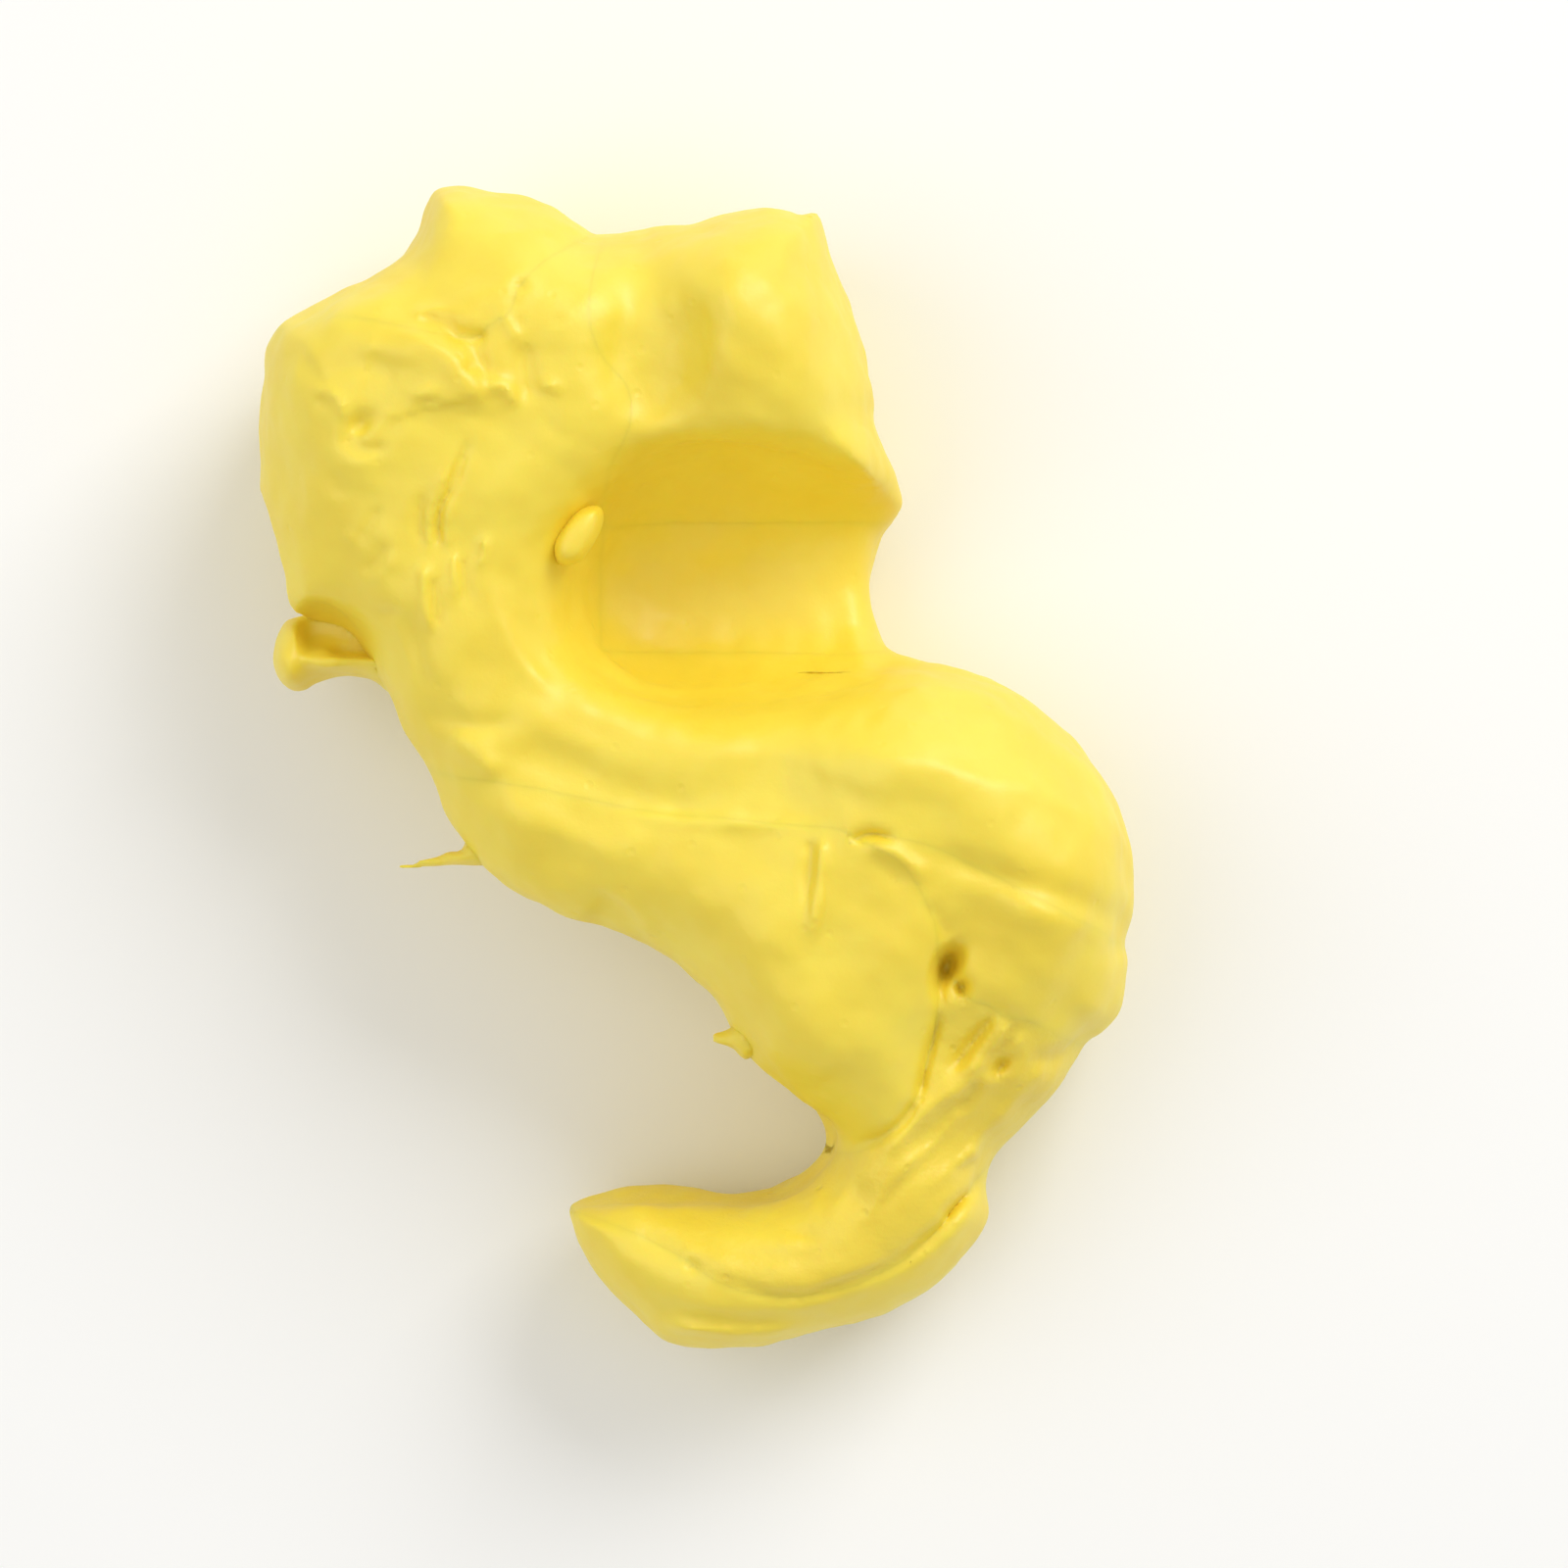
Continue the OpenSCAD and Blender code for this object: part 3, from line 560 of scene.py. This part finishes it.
# how broadly each pair of fields blends, and the height of the flat face it rests on
WEB_JOIN, PAD_JOIN, HOLLOW_RIM, FINGER_RIM, BASE_RIM = 3.0, 7.0, 3.0, 1.6, 5.0
BASE_Z = 0.15
body = join(lump, web.astype(np.float32), WEB_JOIN)
THUMB = [(-2.2, 17.4), (4, 17.3), (10, 18.1), (16, 19.3), (22, 19.6), (60, 20.5)]
KNUCKLE = [(1.8, 22.0), (5.6, 20.8)]
thumb_print = print_of(THUMB, THUMB_R, THUMB_LOW, True)
knuckle_print = print_of(KNUCKLE, KNUCKLE_R, KNUCKLE_LOW, True)
hollow = -join(-thumb_print, -knuckle_print, PAD_JOIN)
body = cut(body, hollow, HOLLOW_RIM)
FINGERS = [[(-46.5, 19.5), (-80, 19.5)], [(-32.0, 1.4), (-80, 2.4)],
           [(-14.4, -18.4), (-80, -16.4)], [(5.4, -36.2), (-80, -34.4)]]
for line in FINGERS:
    body = cut(body, print_of(line, FINGER_R, FINGER_Z), FINGER_RIM)
body = cut(body, (BASE_Z - Z).astype(np.float32), BASE_RIM)
body = body.astype(np.float32)
print("body field ready, dough", round(float((body < 0).sum()) * STEP**3 / 1000, 1), "cm3")

# %% [markdown]
# ## Shares of the lump
# The dough is folded from several gobs that bend against each other, so the lump is divided
# along its natural creases. Each share has an outline on the plan, and some start above the
# layer that lies under the neck and the tongue. Neighbours lap past each other inside the dough,
# so that hardly a line shows between them at rest, and none opens until a fold is bent.

# %% Shares
FAR = 90.0
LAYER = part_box("tongue")[0].z / MM / PLAN[2]
joints = {j["name"]: j for j in frame["joints"]}
head_fold, tail_fold = (np.array(joints[n]["pos_m"]) / MM / PLAN for n in ("head_fold", "tail_fold"))
SCOOP_SEAM = [(-8.6, 62), (-9.0, 54.8), (-9.9, 50.5), (-10.4, 45.5), (-9.4, 41.5), (-6.4, 37.6),
              (-6.6, 33.5), (-8.8, 29.0), (-9.6, 24.0)]


def region(*parts):
    """Closed plan outline from smooth or straight runs of points, as a signed distance."""
    return outline(np.concatenate([np.array(p, float) for p in parts]), rounded=False)


crest_seam, scoop_seam = smooth(CREST_SEAM), smooth(SCOOP_SEAM)
crease, hook, crescent = smooth(CREASE), smooth(HOOK), smooth(CRESCENT)
tongue_rim = smooth(TONGUE_RIM)
STRANDS_TOP = smooth([(24.4, -18.6), (27.0, -22.4), (29.6, -23.6), (31.0, -24.8), (34.0, -25.6),
                      (38.0, -27.4), (41.4, -28.2), (60, -29)])
left_crest_plan = region(crest_seam, [(-9, FAR), (-FAR, FAR)])
right_crest_plan = region(scoop_seam, [(-3, 25.2), (60, 25.2), (60, FAR), (-9, FAR)])
tongue_plan = region(crease, tongue_rim, [(9, -41.5), (-FAR, -41.5), (-FAR, 3)])
heel_plan = region(hook, STRANDS_TOP[::-1], tongue_rim[:24][::-1])
flap_plan = region(STRANDS_TOP, crescent[::-1], [(-60, -41.5), (9, -41.5)], tongue_rim[24:][::-1])
roll_plan = region(crescent, [(FAR, -FAR), (-FAR, -FAR)])
web_plan = region([(-9.6, 12.0), (60, 12.0), (60, 25.2), (-9.6, 25.2)])
core_plan = region([(-FAR, FAR), (-9.6, FAR), (-9.6, 8), (-6, -3.9)], crease[36:], tongue_rim[:24],
                   STRANDS_TOP, [(60, -FAR), (-FAR, -FAR)])
print("shares drawn; layer at", round(LAYER, 1), "mm; head folds at y", round(head_fold[1], 1))

# %% [markdown]
# The layer under the neck and the tongue stops short of the two lines about which the head and
# the tail fold. Above a fold line the moving side leans back by the fold's own angle, which
# leaves the room that the fold needs.

# %% Field of each share
def lean(joint, z):
    """How far a moving side leans back: its height above the fold line times the tangent of
    the fold's furthest angle."""
    furthest = math.radians(max(map(abs, joints[joint]["range_deg"])))
    rise = z - joints[joint]["pos_m"][2] / MM / PLAN[2]
    return np.maximum(rise, 0) * math.tan(furthest)


# how far a share runs on past its line, and how much it sinks for each millimetre that it does
LAP, SINK = 2.4, 0.025
TRIM = 0.35
upper, lower = head_fold[1], tail_fold[1]
layer = np.maximum(core_plan[..., None], Z - LAYER)
layer = np.maximum(layer, PY[..., None] - upper - lean("head_fold", Z))
layer = np.maximum(layer, lower - lean("tail_fold", Z) - PY[..., None])
layer = layer.astype(np.float32)
others = np.minimum.reduce([left_crest_plan, right_crest_plan, web_plan, tongue_plan, heel_plan,
                            flap_plan, roll_plan])


def above_layer(plan):
    """A share that stops at the layer beneath it: the higher of its plan and the layer turned
    inside out."""
    return np.maximum(plan[..., None], -layer)


def trimmed(cell):
    """Dough of one share. It runs on past its line by the lap and sinks a little as it does, so
    that two neighbours pass through each other at a slope too gentle to see."""
    cell = np.broadcast_to(cell, body.shape)
    return cut(body + SINK * np.maximum(cell + LAP, 0), cell - LAP, TRIM).astype(np.float32)


CORE_GAP = 0.4
past_folds = np.maximum(PY[..., None] - upper, lower - PY[..., None])
core_cell = np.maximum(layer, past_folds + CORE_GAP + LAP)
fields = {"s_band": trimmed(above_layer(-others)), "left_crest": trimmed(left_crest_plan[..., None]),
          "right_crest": trimmed(right_crest_plan[..., None]), "thumb_web": trimmed(web_plan[..., None]),
          "tongue": trimmed(above_layer(tongue_plan)), "heel_lobe": trimmed(heel_plan[..., None]),
          "lower_flap": trimmed(above_layer(flap_plan)), "bottom_roll": trimmed(above_layer(roll_plan)),
          "grip_core": trimmed(core_cell)}
print("shares:", {n: round(float((f < 0).sum()) * STEP**3 / 1000, 1) for n, f in fields.items()}, "cm3")

# %% [markdown]
# ## Fins and the lip
# Where two fingers nearly met, the dough was squeezed out between them in thin fins. A small lip
# also stands at the end of the thumb's hollow. Each is a slim slab of its own, trimmed to fit
# against the lump.

# %% Fins
ROOT_DEPTH = 0.6


def slim(points, top, wide, rounding, under, shape=0.0):
    """Field of a thin slab over its own outline, rooted a little way into the lump's body."""
    slab = swell(-outline(points), top * flat, wide * flat, rounding * flat, under, shape)
    return cut(slab, -body - ROOT_DEPTH, 0.3).astype(np.float32)


def taper_off(root):
    """Lowers a fin's top edge by half its distance out from the root."""
    return (-0.5 * np.maximum(root - PX, 0))[..., None]


fin_relief = (stroke([(-40.2, 11.3), (-37.5, 10.7), (-33.6, 11.0), (-29, 10.8)], 0.6, 2.0, (0.3, 0.1))
              + stroke([(-40.6, 13.8), (-37.5, 13.9), (-34.0, 13.0), (-30, 12.6)], 1.6, -5.5, (0.15, 0.1))
              + stroke([(-37.6, 12.2), (-35.5, 11.9), (-32.0, 11.8)], 0.45, -2.4, (0.3, 0.1))
              + dent(-42.0, 10.6, 1.6, 2.6, 10, -1.2))
UPPER_FIN = [(-41.2, 15.4), (-42.5, 14.2), (-43.1, 12.4), (-43.2, 10.6), (-42.6, 8.9), (-41.4, 7.9),
             (-40.1, 8.0), (-38.8, 8.9), (-36.6, 9.5), (-33.5, 9.2), (-29, 7), (-24, 11), (-30, 15),
             (-36, 16.2)]
MIDDLE_FIN = [(-30.3, -10.0), (-28.0, -9.3), (-26.2, -8.9), (-25.0, -8.2), (-23.9, -8.0), (-23.2, -7.0),
              (-20.0, -5.6), (-18.4, -9.0), (-21.4, -10.0), (-25.5, -9.8)]
LOWER_FIN = [(1.4, -27.2), (3.2, -26.5), (6.0, -24.6), (8.4, -27.4), (5.4, -29.4), (3.8, -28.3)]
THUMB_LIP = [(-10.6, 26.4), (-9.3, 26.2), (-9.2, 25.0), (-9.8, 23.4), (-10.6, 22.0), (-11.6, 20.8),
             (-13.5, 20.6), (-14.0, 22.6), (-12.6, 25.0)]
fields["upper_fin"] = slim(UPPER_FIN, top=24.5, wide=17.0, rounding=2.8, under=8.5,
                           shape=fin_relief[..., None])
fields["middle_fin"] = slim(MIDDLE_FIN, top=26.0, wide=22.5, rounding=1.6, under=3.6,
                            shape=taper_off(-24.0))
fields["lower_fin"] = slim(LOWER_FIN, top=26.0, wide=22.5, rounding=1.6, under=3.6,
                           shape=taper_off(5.0))
fields["thumb_lip"] = slim(THUMB_LIP, top=30.6, wide=29.4, rounding=1.2, under=1.5)
SLIM_PIECES = ("upper_fin", "middle_fin", "lower_fin", "thumb_lip")
print("grid points in each slim piece:", {n: int((fields[n] < 0).sum()) for n in SLIM_PIECES})

# %% [markdown]
# ## The skin of a field
# Surface nets turn a field into a mesh. Each cube of the grid that the skin passes through gets
# one point, the mean of where the skin crosses the cube's edges, and the four cubes round each
# crossed edge share a face. Then the points are evened out between their neighbours and pulled
# back to where the field is zero, so that the surface is smooth.

# %% Surface nets
CORNERS = np.array([(i, j, k) for i in (0, 1) for j in (0, 1) for k in (0, 1)])


def nets(field):
    """Points in grid units, and four-sided faces that look outwards."""
    solid = field < 0
    n = np.array(field.shape) - 1
    count = sum(solid[i:i + n[0], j:j + n[1], k:k + n[2]].astype(np.int8) for i, j, k in CORNERS)
    cube = np.argwhere((count > 0) & (count < 8))
    index = np.full(n, -1, np.int32)
    index[tuple(cube.T)] = np.arange(len(cube))
    total, hits = np.zeros((len(cube), 3)), np.zeros((len(cube), 1))
    for a in CORNERS:
        for way in np.eye(3, dtype=int)[a == 0]:
            fa, fb = (field[tuple((cube + c).T)][:, None] for c in (a, a + way))
            crossed = (fa < 0) != (fb < 0)
            t = fa / np.where(crossed, fa - fb, 1)
            total += np.where(crossed, cube + a + t * way, 0)
            hits += crossed
    faces = []
    for axis in range(3):
        u, v = np.eye(3, dtype=int)[[(axis + 1) % 3, (axis + 2) % 3]]
        before = solid.take(np.arange(n[axis]), axis)
        after = solid.take(np.arange(1, n[axis] + 1), axis)
        p = np.argwhere(before != after)
        quad = np.stack([index[tuple((p - o).T)] for o in (0 * u, u, u + v, v)], 1)
        out = before[tuple(p.T)]
        faces += [quad[out], quad[~out][:, ::-1]]
    return total / hits, np.concatenate(faces)


def read(field, p):
    """The field between its grid points, as the mean of the eight round p, weighted by
    nearness."""
    i = np.clip(p.astype(int), 0, np.array(field.shape) - 2)
    f = p - i
    value = 0
    for c in CORNERS:
        value = value + np.prod(np.where(c, f, 1 - f), axis=1) * field[tuple((i + c).T)]
    return value


KEEP, EVEN_OUT = 0.45, 0.55
FURTHEST_PULL = 0.6


def settle(field, p, faces, rounds=2):
    """Evens the points out between their neighbours, then moves each back along the field's
    slope by the field over the slope squared."""
    a = faces.ravel()
    b = np.roll(faces, -1, axis=1).ravel()
    near = np.bincount(a, minlength=len(p))[:, None]
    for _ in range(rounds):
        mean = np.stack([np.bincount(a, p[b, i], len(p)) for i in range(3)], 1) / near
        p = KEEP * p + EVEN_OUT * mean
        slope = np.stack([read(field, p + e) - read(field, p - e) for e in 0.5 * np.eye(3)], 1)
        pull = read(field, p) / np.maximum((slope**2).sum(1), 0.02)
        p = p - np.clip(pull, -FURTHEST_PULL, FURTHEST_PULL)[:, None] * slope
    return p


def largest(p, faces):
    """Keeps the biggest connected piece: each point takes the lowest label it can reach."""
    label = np.arange(len(p))
    a, b = faces.ravel(), np.roll(faces, -1, axis=1).ravel()
    while True:
        low_label = np.minimum(label[a], label[b])
        new = label.copy()
        np.minimum.at(new, a, low_label)
        np.minimum.at(new, label[a], low_label)
        new = new[new]
        if (new == label).all():
            break
        label = new
    main = np.bincount(label).argmax()
    keep = label == main
    moved = np.cumsum(keep) - 1
    return p[keep], moved[faces[keep[faces[:, 0]]]]


# %% [markdown]
# Kneaded dough is never quite even. A sum of small waves, whose directions and lengths are drawn
# once from a fixed seed, moves the skin in and out by about a tenth of a millimetre.

# %% Uneven skin
SEED, WAVES, WAVE_HEIGHT = 11, 36, 0.0042
rng = np.random.default_rng(SEED)
wave_way = rng.normal(size=(WAVES, 3))
wave_way /= np.linalg.norm(wave_way, axis=1)[:, None]
wave_length = np.geomspace(2.2, 15, WAVES)
wave_start = rng.uniform(0, 2 * math.pi, WAVES)


def uneven(p):
    """Sum of sines along the seeded directions, each as high as its length times a share."""
    phase = p @ (wave_way / wave_length[:, None]).T * 2 * math.pi + wave_start
    return np.sin(phase) @ (wave_length * WAVE_HEIGHT)


def skin(name, field):
    """Mesh object of a field, in metres, with its object at the origin."""
    full = np.argwhere(field < 0)
    first, last = np.maximum(full.min(0) - 2, 0), full.max(0) + 3
    part = field[tuple(slice(a, b) for a, b in zip(first, last))]
    part = np.pad(part, 1, constant_values=1.0)
    p, faces = nets(part)
    p, faces = largest(p, faces)
    p = settle(part, p, faces)
    slope = np.stack([read(part, p + e) - read(part, p - e) for e in 0.5 * np.eye(3)], 1)
    slope /= np.maximum(np.linalg.norm(slope, axis=1), 1e-6)[:, None]
    corner = np.array([xs[0], ys[0], zs[0]]) + (first - 1) * STEP
    p = p * STEP + corner
    above = ease((p[:, 2] - 1.0) / 3)
    p = p + slope * (uneven(p) * above)[:, None]
    mesh = bpy.data.meshes.new(name + "_dough")
    mesh.vertices.add(len(p))
    mesh.vertices.foreach_set("co", (p * MM).astype(np.float32).ravel())
    mesh.loops.add(faces.size)
    mesh.loops.foreach_set("vertex_index", faces.astype(np.int32).ravel())
    mesh.polygons.add(len(faces))
    mesh.polygons.foreach_set("loop_start", np.arange(0, faces.size, 4, dtype=np.int32))
    mesh.polygons.foreach_set("loop_total", np.full(len(faces), 4, np.int32))
    mesh.polygons.foreach_set("use_smooth", np.ones(len(faces), bool))
    mesh.update(calc_edges=True)
    piece = bpy.data.objects.new(mesh.name, mesh)
    bpy.context.scene.collection.objects.link(piece)
    print(f"{name}: {len(p)} points, {2 * len(faces)} triangles, "
          f"z {p[:, 2].min():.1f} to {p[:, 2].max():.1f} mm")
    return piece


pieces = {name: skin(name, field) for name, field in fields.items()}

# %% [markdown]
# ## The finish of the dough
# The dough is a saturated lemon yellow, matte to softly satin, and lets a little light in. The
# same small effects are on every piece, so they are one node group: slow patches of lighter
# and deeper yellow, fine pores, and a faint grain that changes how rough the skin is.

# %% Shared node group
def node(tree, kind, at, **values):
    """Adds a node, sets its plain properties, then the inputs named with in_."""
    made = tree.nodes.new(kind)
    made.location = at
    for key, value in values.items():
        if key.startswith("in_"):
            made.inputs[key[3:].replace("_", " ")].default_value = value
        else:
            setattr(made, key, value)
    return made


def dough_skin_group():
    """Node group: patches, pores and grain from Object coordinates."""
    tree = bpy.data.node_groups.new("dough skin", "ShaderNodeTree")
    for name, kind, value in [("Light", "NodeSocketColor", (0.93, 0.76, 0.09, 1)),
                              ("Deep", "NodeSocketColor", (0.86, 0.62, 0.03, 1)),
                              ("Grain", "NodeSocketFloat", 1.0), ("Pores", "NodeSocketFloat", 1.0)]:
        socket = tree.interface.new_socket(name, in_out="INPUT", socket_type=kind)
        socket.default_value = value
    for name, kind in [("Color", "NodeSocketColor"), ("Roughness", "NodeSocketFloat"),
                       ("Height", "NodeSocketFloat")]:
        tree.interface.new_socket(name, in_out="OUTPUT", socket_type=kind)
    inputs = node(tree, "NodeGroupInput", (-900, 0))
    outputs = node(tree, "NodeGroupOutput", (700, 0))
    place = node(tree, "ShaderNodeTexCoord", (-900, -300))
    link = tree.links.new
    patches = node(tree, "ShaderNodeTexNoise", (-600, 200), in_Scale=70.0, in_Detail=4.0, in_Roughness=0.55)
    grain = node(tree, "ShaderNodeTexNoise", (-600, -100), in_Scale=650.0, in_Detail=5.0, in_Roughness=0.6)
    pores = node(tree, "ShaderNodeTexVoronoi", (-600, -400), in_Scale=260.0, in_Randomness=1.0)
    for texture in (patches, grain, pores):
        link(place.outputs["Object"], texture.inputs["Vector"])
    spread = node(tree, "ShaderNodeMapRange", (-350, 200), in_From_Min=0.35, in_From_Max=0.68)
    link(patches.outputs["Fac"], spread.inputs["Value"])
    tint = node(tree, "ShaderNodeMix", (0, 200), data_type="RGBA")
    link(spread.outputs["Result"], tint.inputs["Factor"])
    link(inputs.outputs["Deep"], tint.inputs[6])
    link(inputs.outputs["Light"], tint.inputs[7])
    link(tint.outputs[2], outputs.inputs["Color"])
    rough = node(tree, "ShaderNodeMapRange", (0, -100), in_To_Min=0.4, in_To_Max=0.55)
    link(grain.outputs["Fac"], rough.inputs["Value"])
    link(rough.outputs["Result"], outputs.inputs["Roughness"])
    hole = node(tree, "ShaderNodeMapRange", (-350, -400), in_From_Min=0.0, in_From_Max=0.13, in_To_Min=-1.0,
                in_To_Max=0.0)
    link(pores.outputs["Distance"], hole.inputs["Value"])
    deep_hole = node(tree, "ShaderNodeMath", (-100, -400), operation="MULTIPLY")
    link(hole.outputs["Result"], deep_hole.inputs[0])
    link(inputs.outputs["Pores"], deep_hole.inputs[1])
    fine = node(tree, "ShaderNodeMath", (-100, -250), operation="MULTIPLY")
    link(grain.outputs["Fac"], fine.inputs[0])
    link(inputs.outputs["Grain"], fine.inputs[1])
    height = node(tree, "ShaderNodeMath", (300, -300), operation="ADD")
    link(fine.outputs[0], height.inputs[0])
    link(deep_hole.outputs[0], height.inputs[1])
    link(height.outputs[0], outputs.inputs["Height"])
    return tree


skin_group = dough_skin_group()
print("node group:", skin_group.name, "with", len(skin_group.nodes), "nodes")


# %% Materials
def dough_material(name, light, deep, grain, pores, bump):
    """Principled dough: the group's colour, roughness and height, with light let in to a
    millimetre or two, red furthest and blue least."""
    material = bpy.data.materials.new(name)
    material.use_nodes = True
    tree = material.node_tree
    tree.nodes.clear()
    out = node(tree, "ShaderNodeOutputMaterial", (500, 0))
    shader = node(tree, "ShaderNodeBsdfPrincipled", (200, 0), in_Subsurface_Weight=0.35,
                  in_Subsurface_Scale=0.0012, in_Subsurface_Radius=(1.0, 0.62, 0.12), in_IOR=1.5,
                  in_Specular_IOR_Level=0.8)
    group = node(tree, "ShaderNodeGroup", (-300, 0), node_tree=skin_group)
    group.inputs["Light"].default_value = (*light, 1)
    group.inputs["Deep"].default_value = (*deep, 1)
    group.inputs["Grain"].default_value = grain
    group.inputs["Pores"].default_value = pores
    relief_node = node(tree, "ShaderNodeBump", (-50, -250), in_Strength=bump, in_Distance=0.0002)
    link = tree.links.new
    link(group.outputs["Color"], shader.inputs["Base Color"])
    link(group.outputs["Roughness"], shader.inputs["Roughness"])
    link(group.outputs["Height"], relief_node.inputs["Height"])
    link(relief_node.outputs["Normal"], shader.inputs["Normal"])
    link(shader.outputs["BSDF"], out.inputs["Surface"])
    material.diffuse_color = (*light, 1)
    return material


smooth_dough = dough_material("kneaded dough", light=(0.93, 0.75, 0.066), deep=(0.89, 0.68, 0.04),
                              grain=0.5, pores=0.6, bump=0.5)
torn_dough = dough_material("torn dough", light=(0.92, 0.735, 0.062), deep=(0.87, 0.655, 0.038),
                            grain=1.0, pores=1.0, bump=0.9)
for name, piece in pieces.items():
    piece.data.materials.append(torn_dough if name == "lower_flap" else smooth_dough)
print("materials:", [m.name for m in bpy.data.materials])

# %% [markdown]
# ## What moves with what
# The head folds over the thumb's hollow, the tongue peels up, and the tail folds under. Dough bends
# rather than hinges, but here the crests and the lip are attached to the head, the heel and the grip
# to the core, and the roll to the tail; the band, web, tongue, flap and fins are left unattached.


RIDES = {"left_crest": "head", "right_crest": "head", "thumb_lip": "head", "heel_lobe": "core",
         "grip_core": "core", "bottom_roll": "tail"}
STANDS_FOR = {"s_band": ["head_lobe", "neck_band", "shoulder_lobe"],
              "lower_flap": ["lower_flap", "bottom_fold"]}
for name, piece in pieces.items():
    if name in RIDES:
        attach(piece, RIDES[name])
    else:
        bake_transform(piece)
    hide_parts(*STANDS_FOR.get(name, [name]))
print("pieces:", len(pieces), "riding", RIDES)

# %% [markdown]
# ## Floor, light and camera
# A plain pale table under an even sky, a soft key light beyond the head and to its right, and a
# wide, weaker fill from the left. The camera looks straight down, from far enough that the lump
# keeps its proportions.

# %% Stage
TABLE_HALF = 3.0
TABLE_COLOR = (0.94, 0.94, 0.93, 1)
SKY_COLOR, SKY_STRENGTH = (1, 0.99, 0.97, 1), 0.6
floor_mesh = bpy.data.meshes.new("table")
CORNER_SIGNS = ((-1, -1), (1, -1), (1, 1), (-1, 1))
floor_mesh.from_pydata([(sx * TABLE_HALF, sy * TABLE_HALF, 0) for sx, sy in CORNER_SIGNS],
                       [], [(0, 1, 2, 3)])
floor = bpy.data.objects.new("table", floor_mesh)
bpy.context.scene.collection.objects.link(floor)
pale = bpy.data.materials.new("pale table")
pale.use_nodes = True
pale_shader = pale.node_tree.nodes["Principled BSDF"]
pale_shader.inputs["Base Color"].default_value = TABLE_COLOR
pale_shader.inputs["Roughness"].default_value = 0.8
floor_mesh.materials.append(pale)

world = bpy.data.worlds.new("studio")
world.use_nodes = True
sky = world.node_tree.nodes["Background"]
sky.inputs["Color"].default_value = SKY_COLOR
sky.inputs["Strength"].default_value = SKY_STRENGTH
bpy.context.scene.world = world
middle = Vector(((low + high) / 2 * MM).tolist())


def soft_light(name, offset, size, power):
    """Square area light at an offset from the lump's middle, turned to face it."""
    lamp = bpy.data.lights.new(name, "AREA")
    lamp.size = size
    lamp.energy = power
    made = bpy.data.objects.new(name, lamp)
    made.location = middle + Vector(offset)
    made.rotation_euler = (-Vector(offset)).to_track_quat("-Z", "Y").to_euler()
    bpy.context.scene.collection.objects.link(made)
    return made


soft_light("key light", offset=(0.70, 0.88, 0.88), size=0.8, power=11.0)
soft_light("fill light", offset=(-0.9, 0.1, 1.1), size=1.2, power=4.5)

# %% Camera
FRAME_WIDE = 0.160 * PLAN.max()
AIM = (0.009, -0.0015)
camera = bpy.data.cameras.new("camera")
camera.sensor_width = 36
camera.lens = 150
eye = bpy.data.objects.new("camera", camera)
away = FRAME_WIDE * camera.lens / camera.sensor_width
eye.location = Vector((*AIM, middle.z + away))
bpy.context.scene.collection.objects.link(eye)
bpy.context.scene.camera = eye
bpy.context.scene.view_settings.view_transform = "Standard"
print("camera", round(away, 3), "m above the lump")
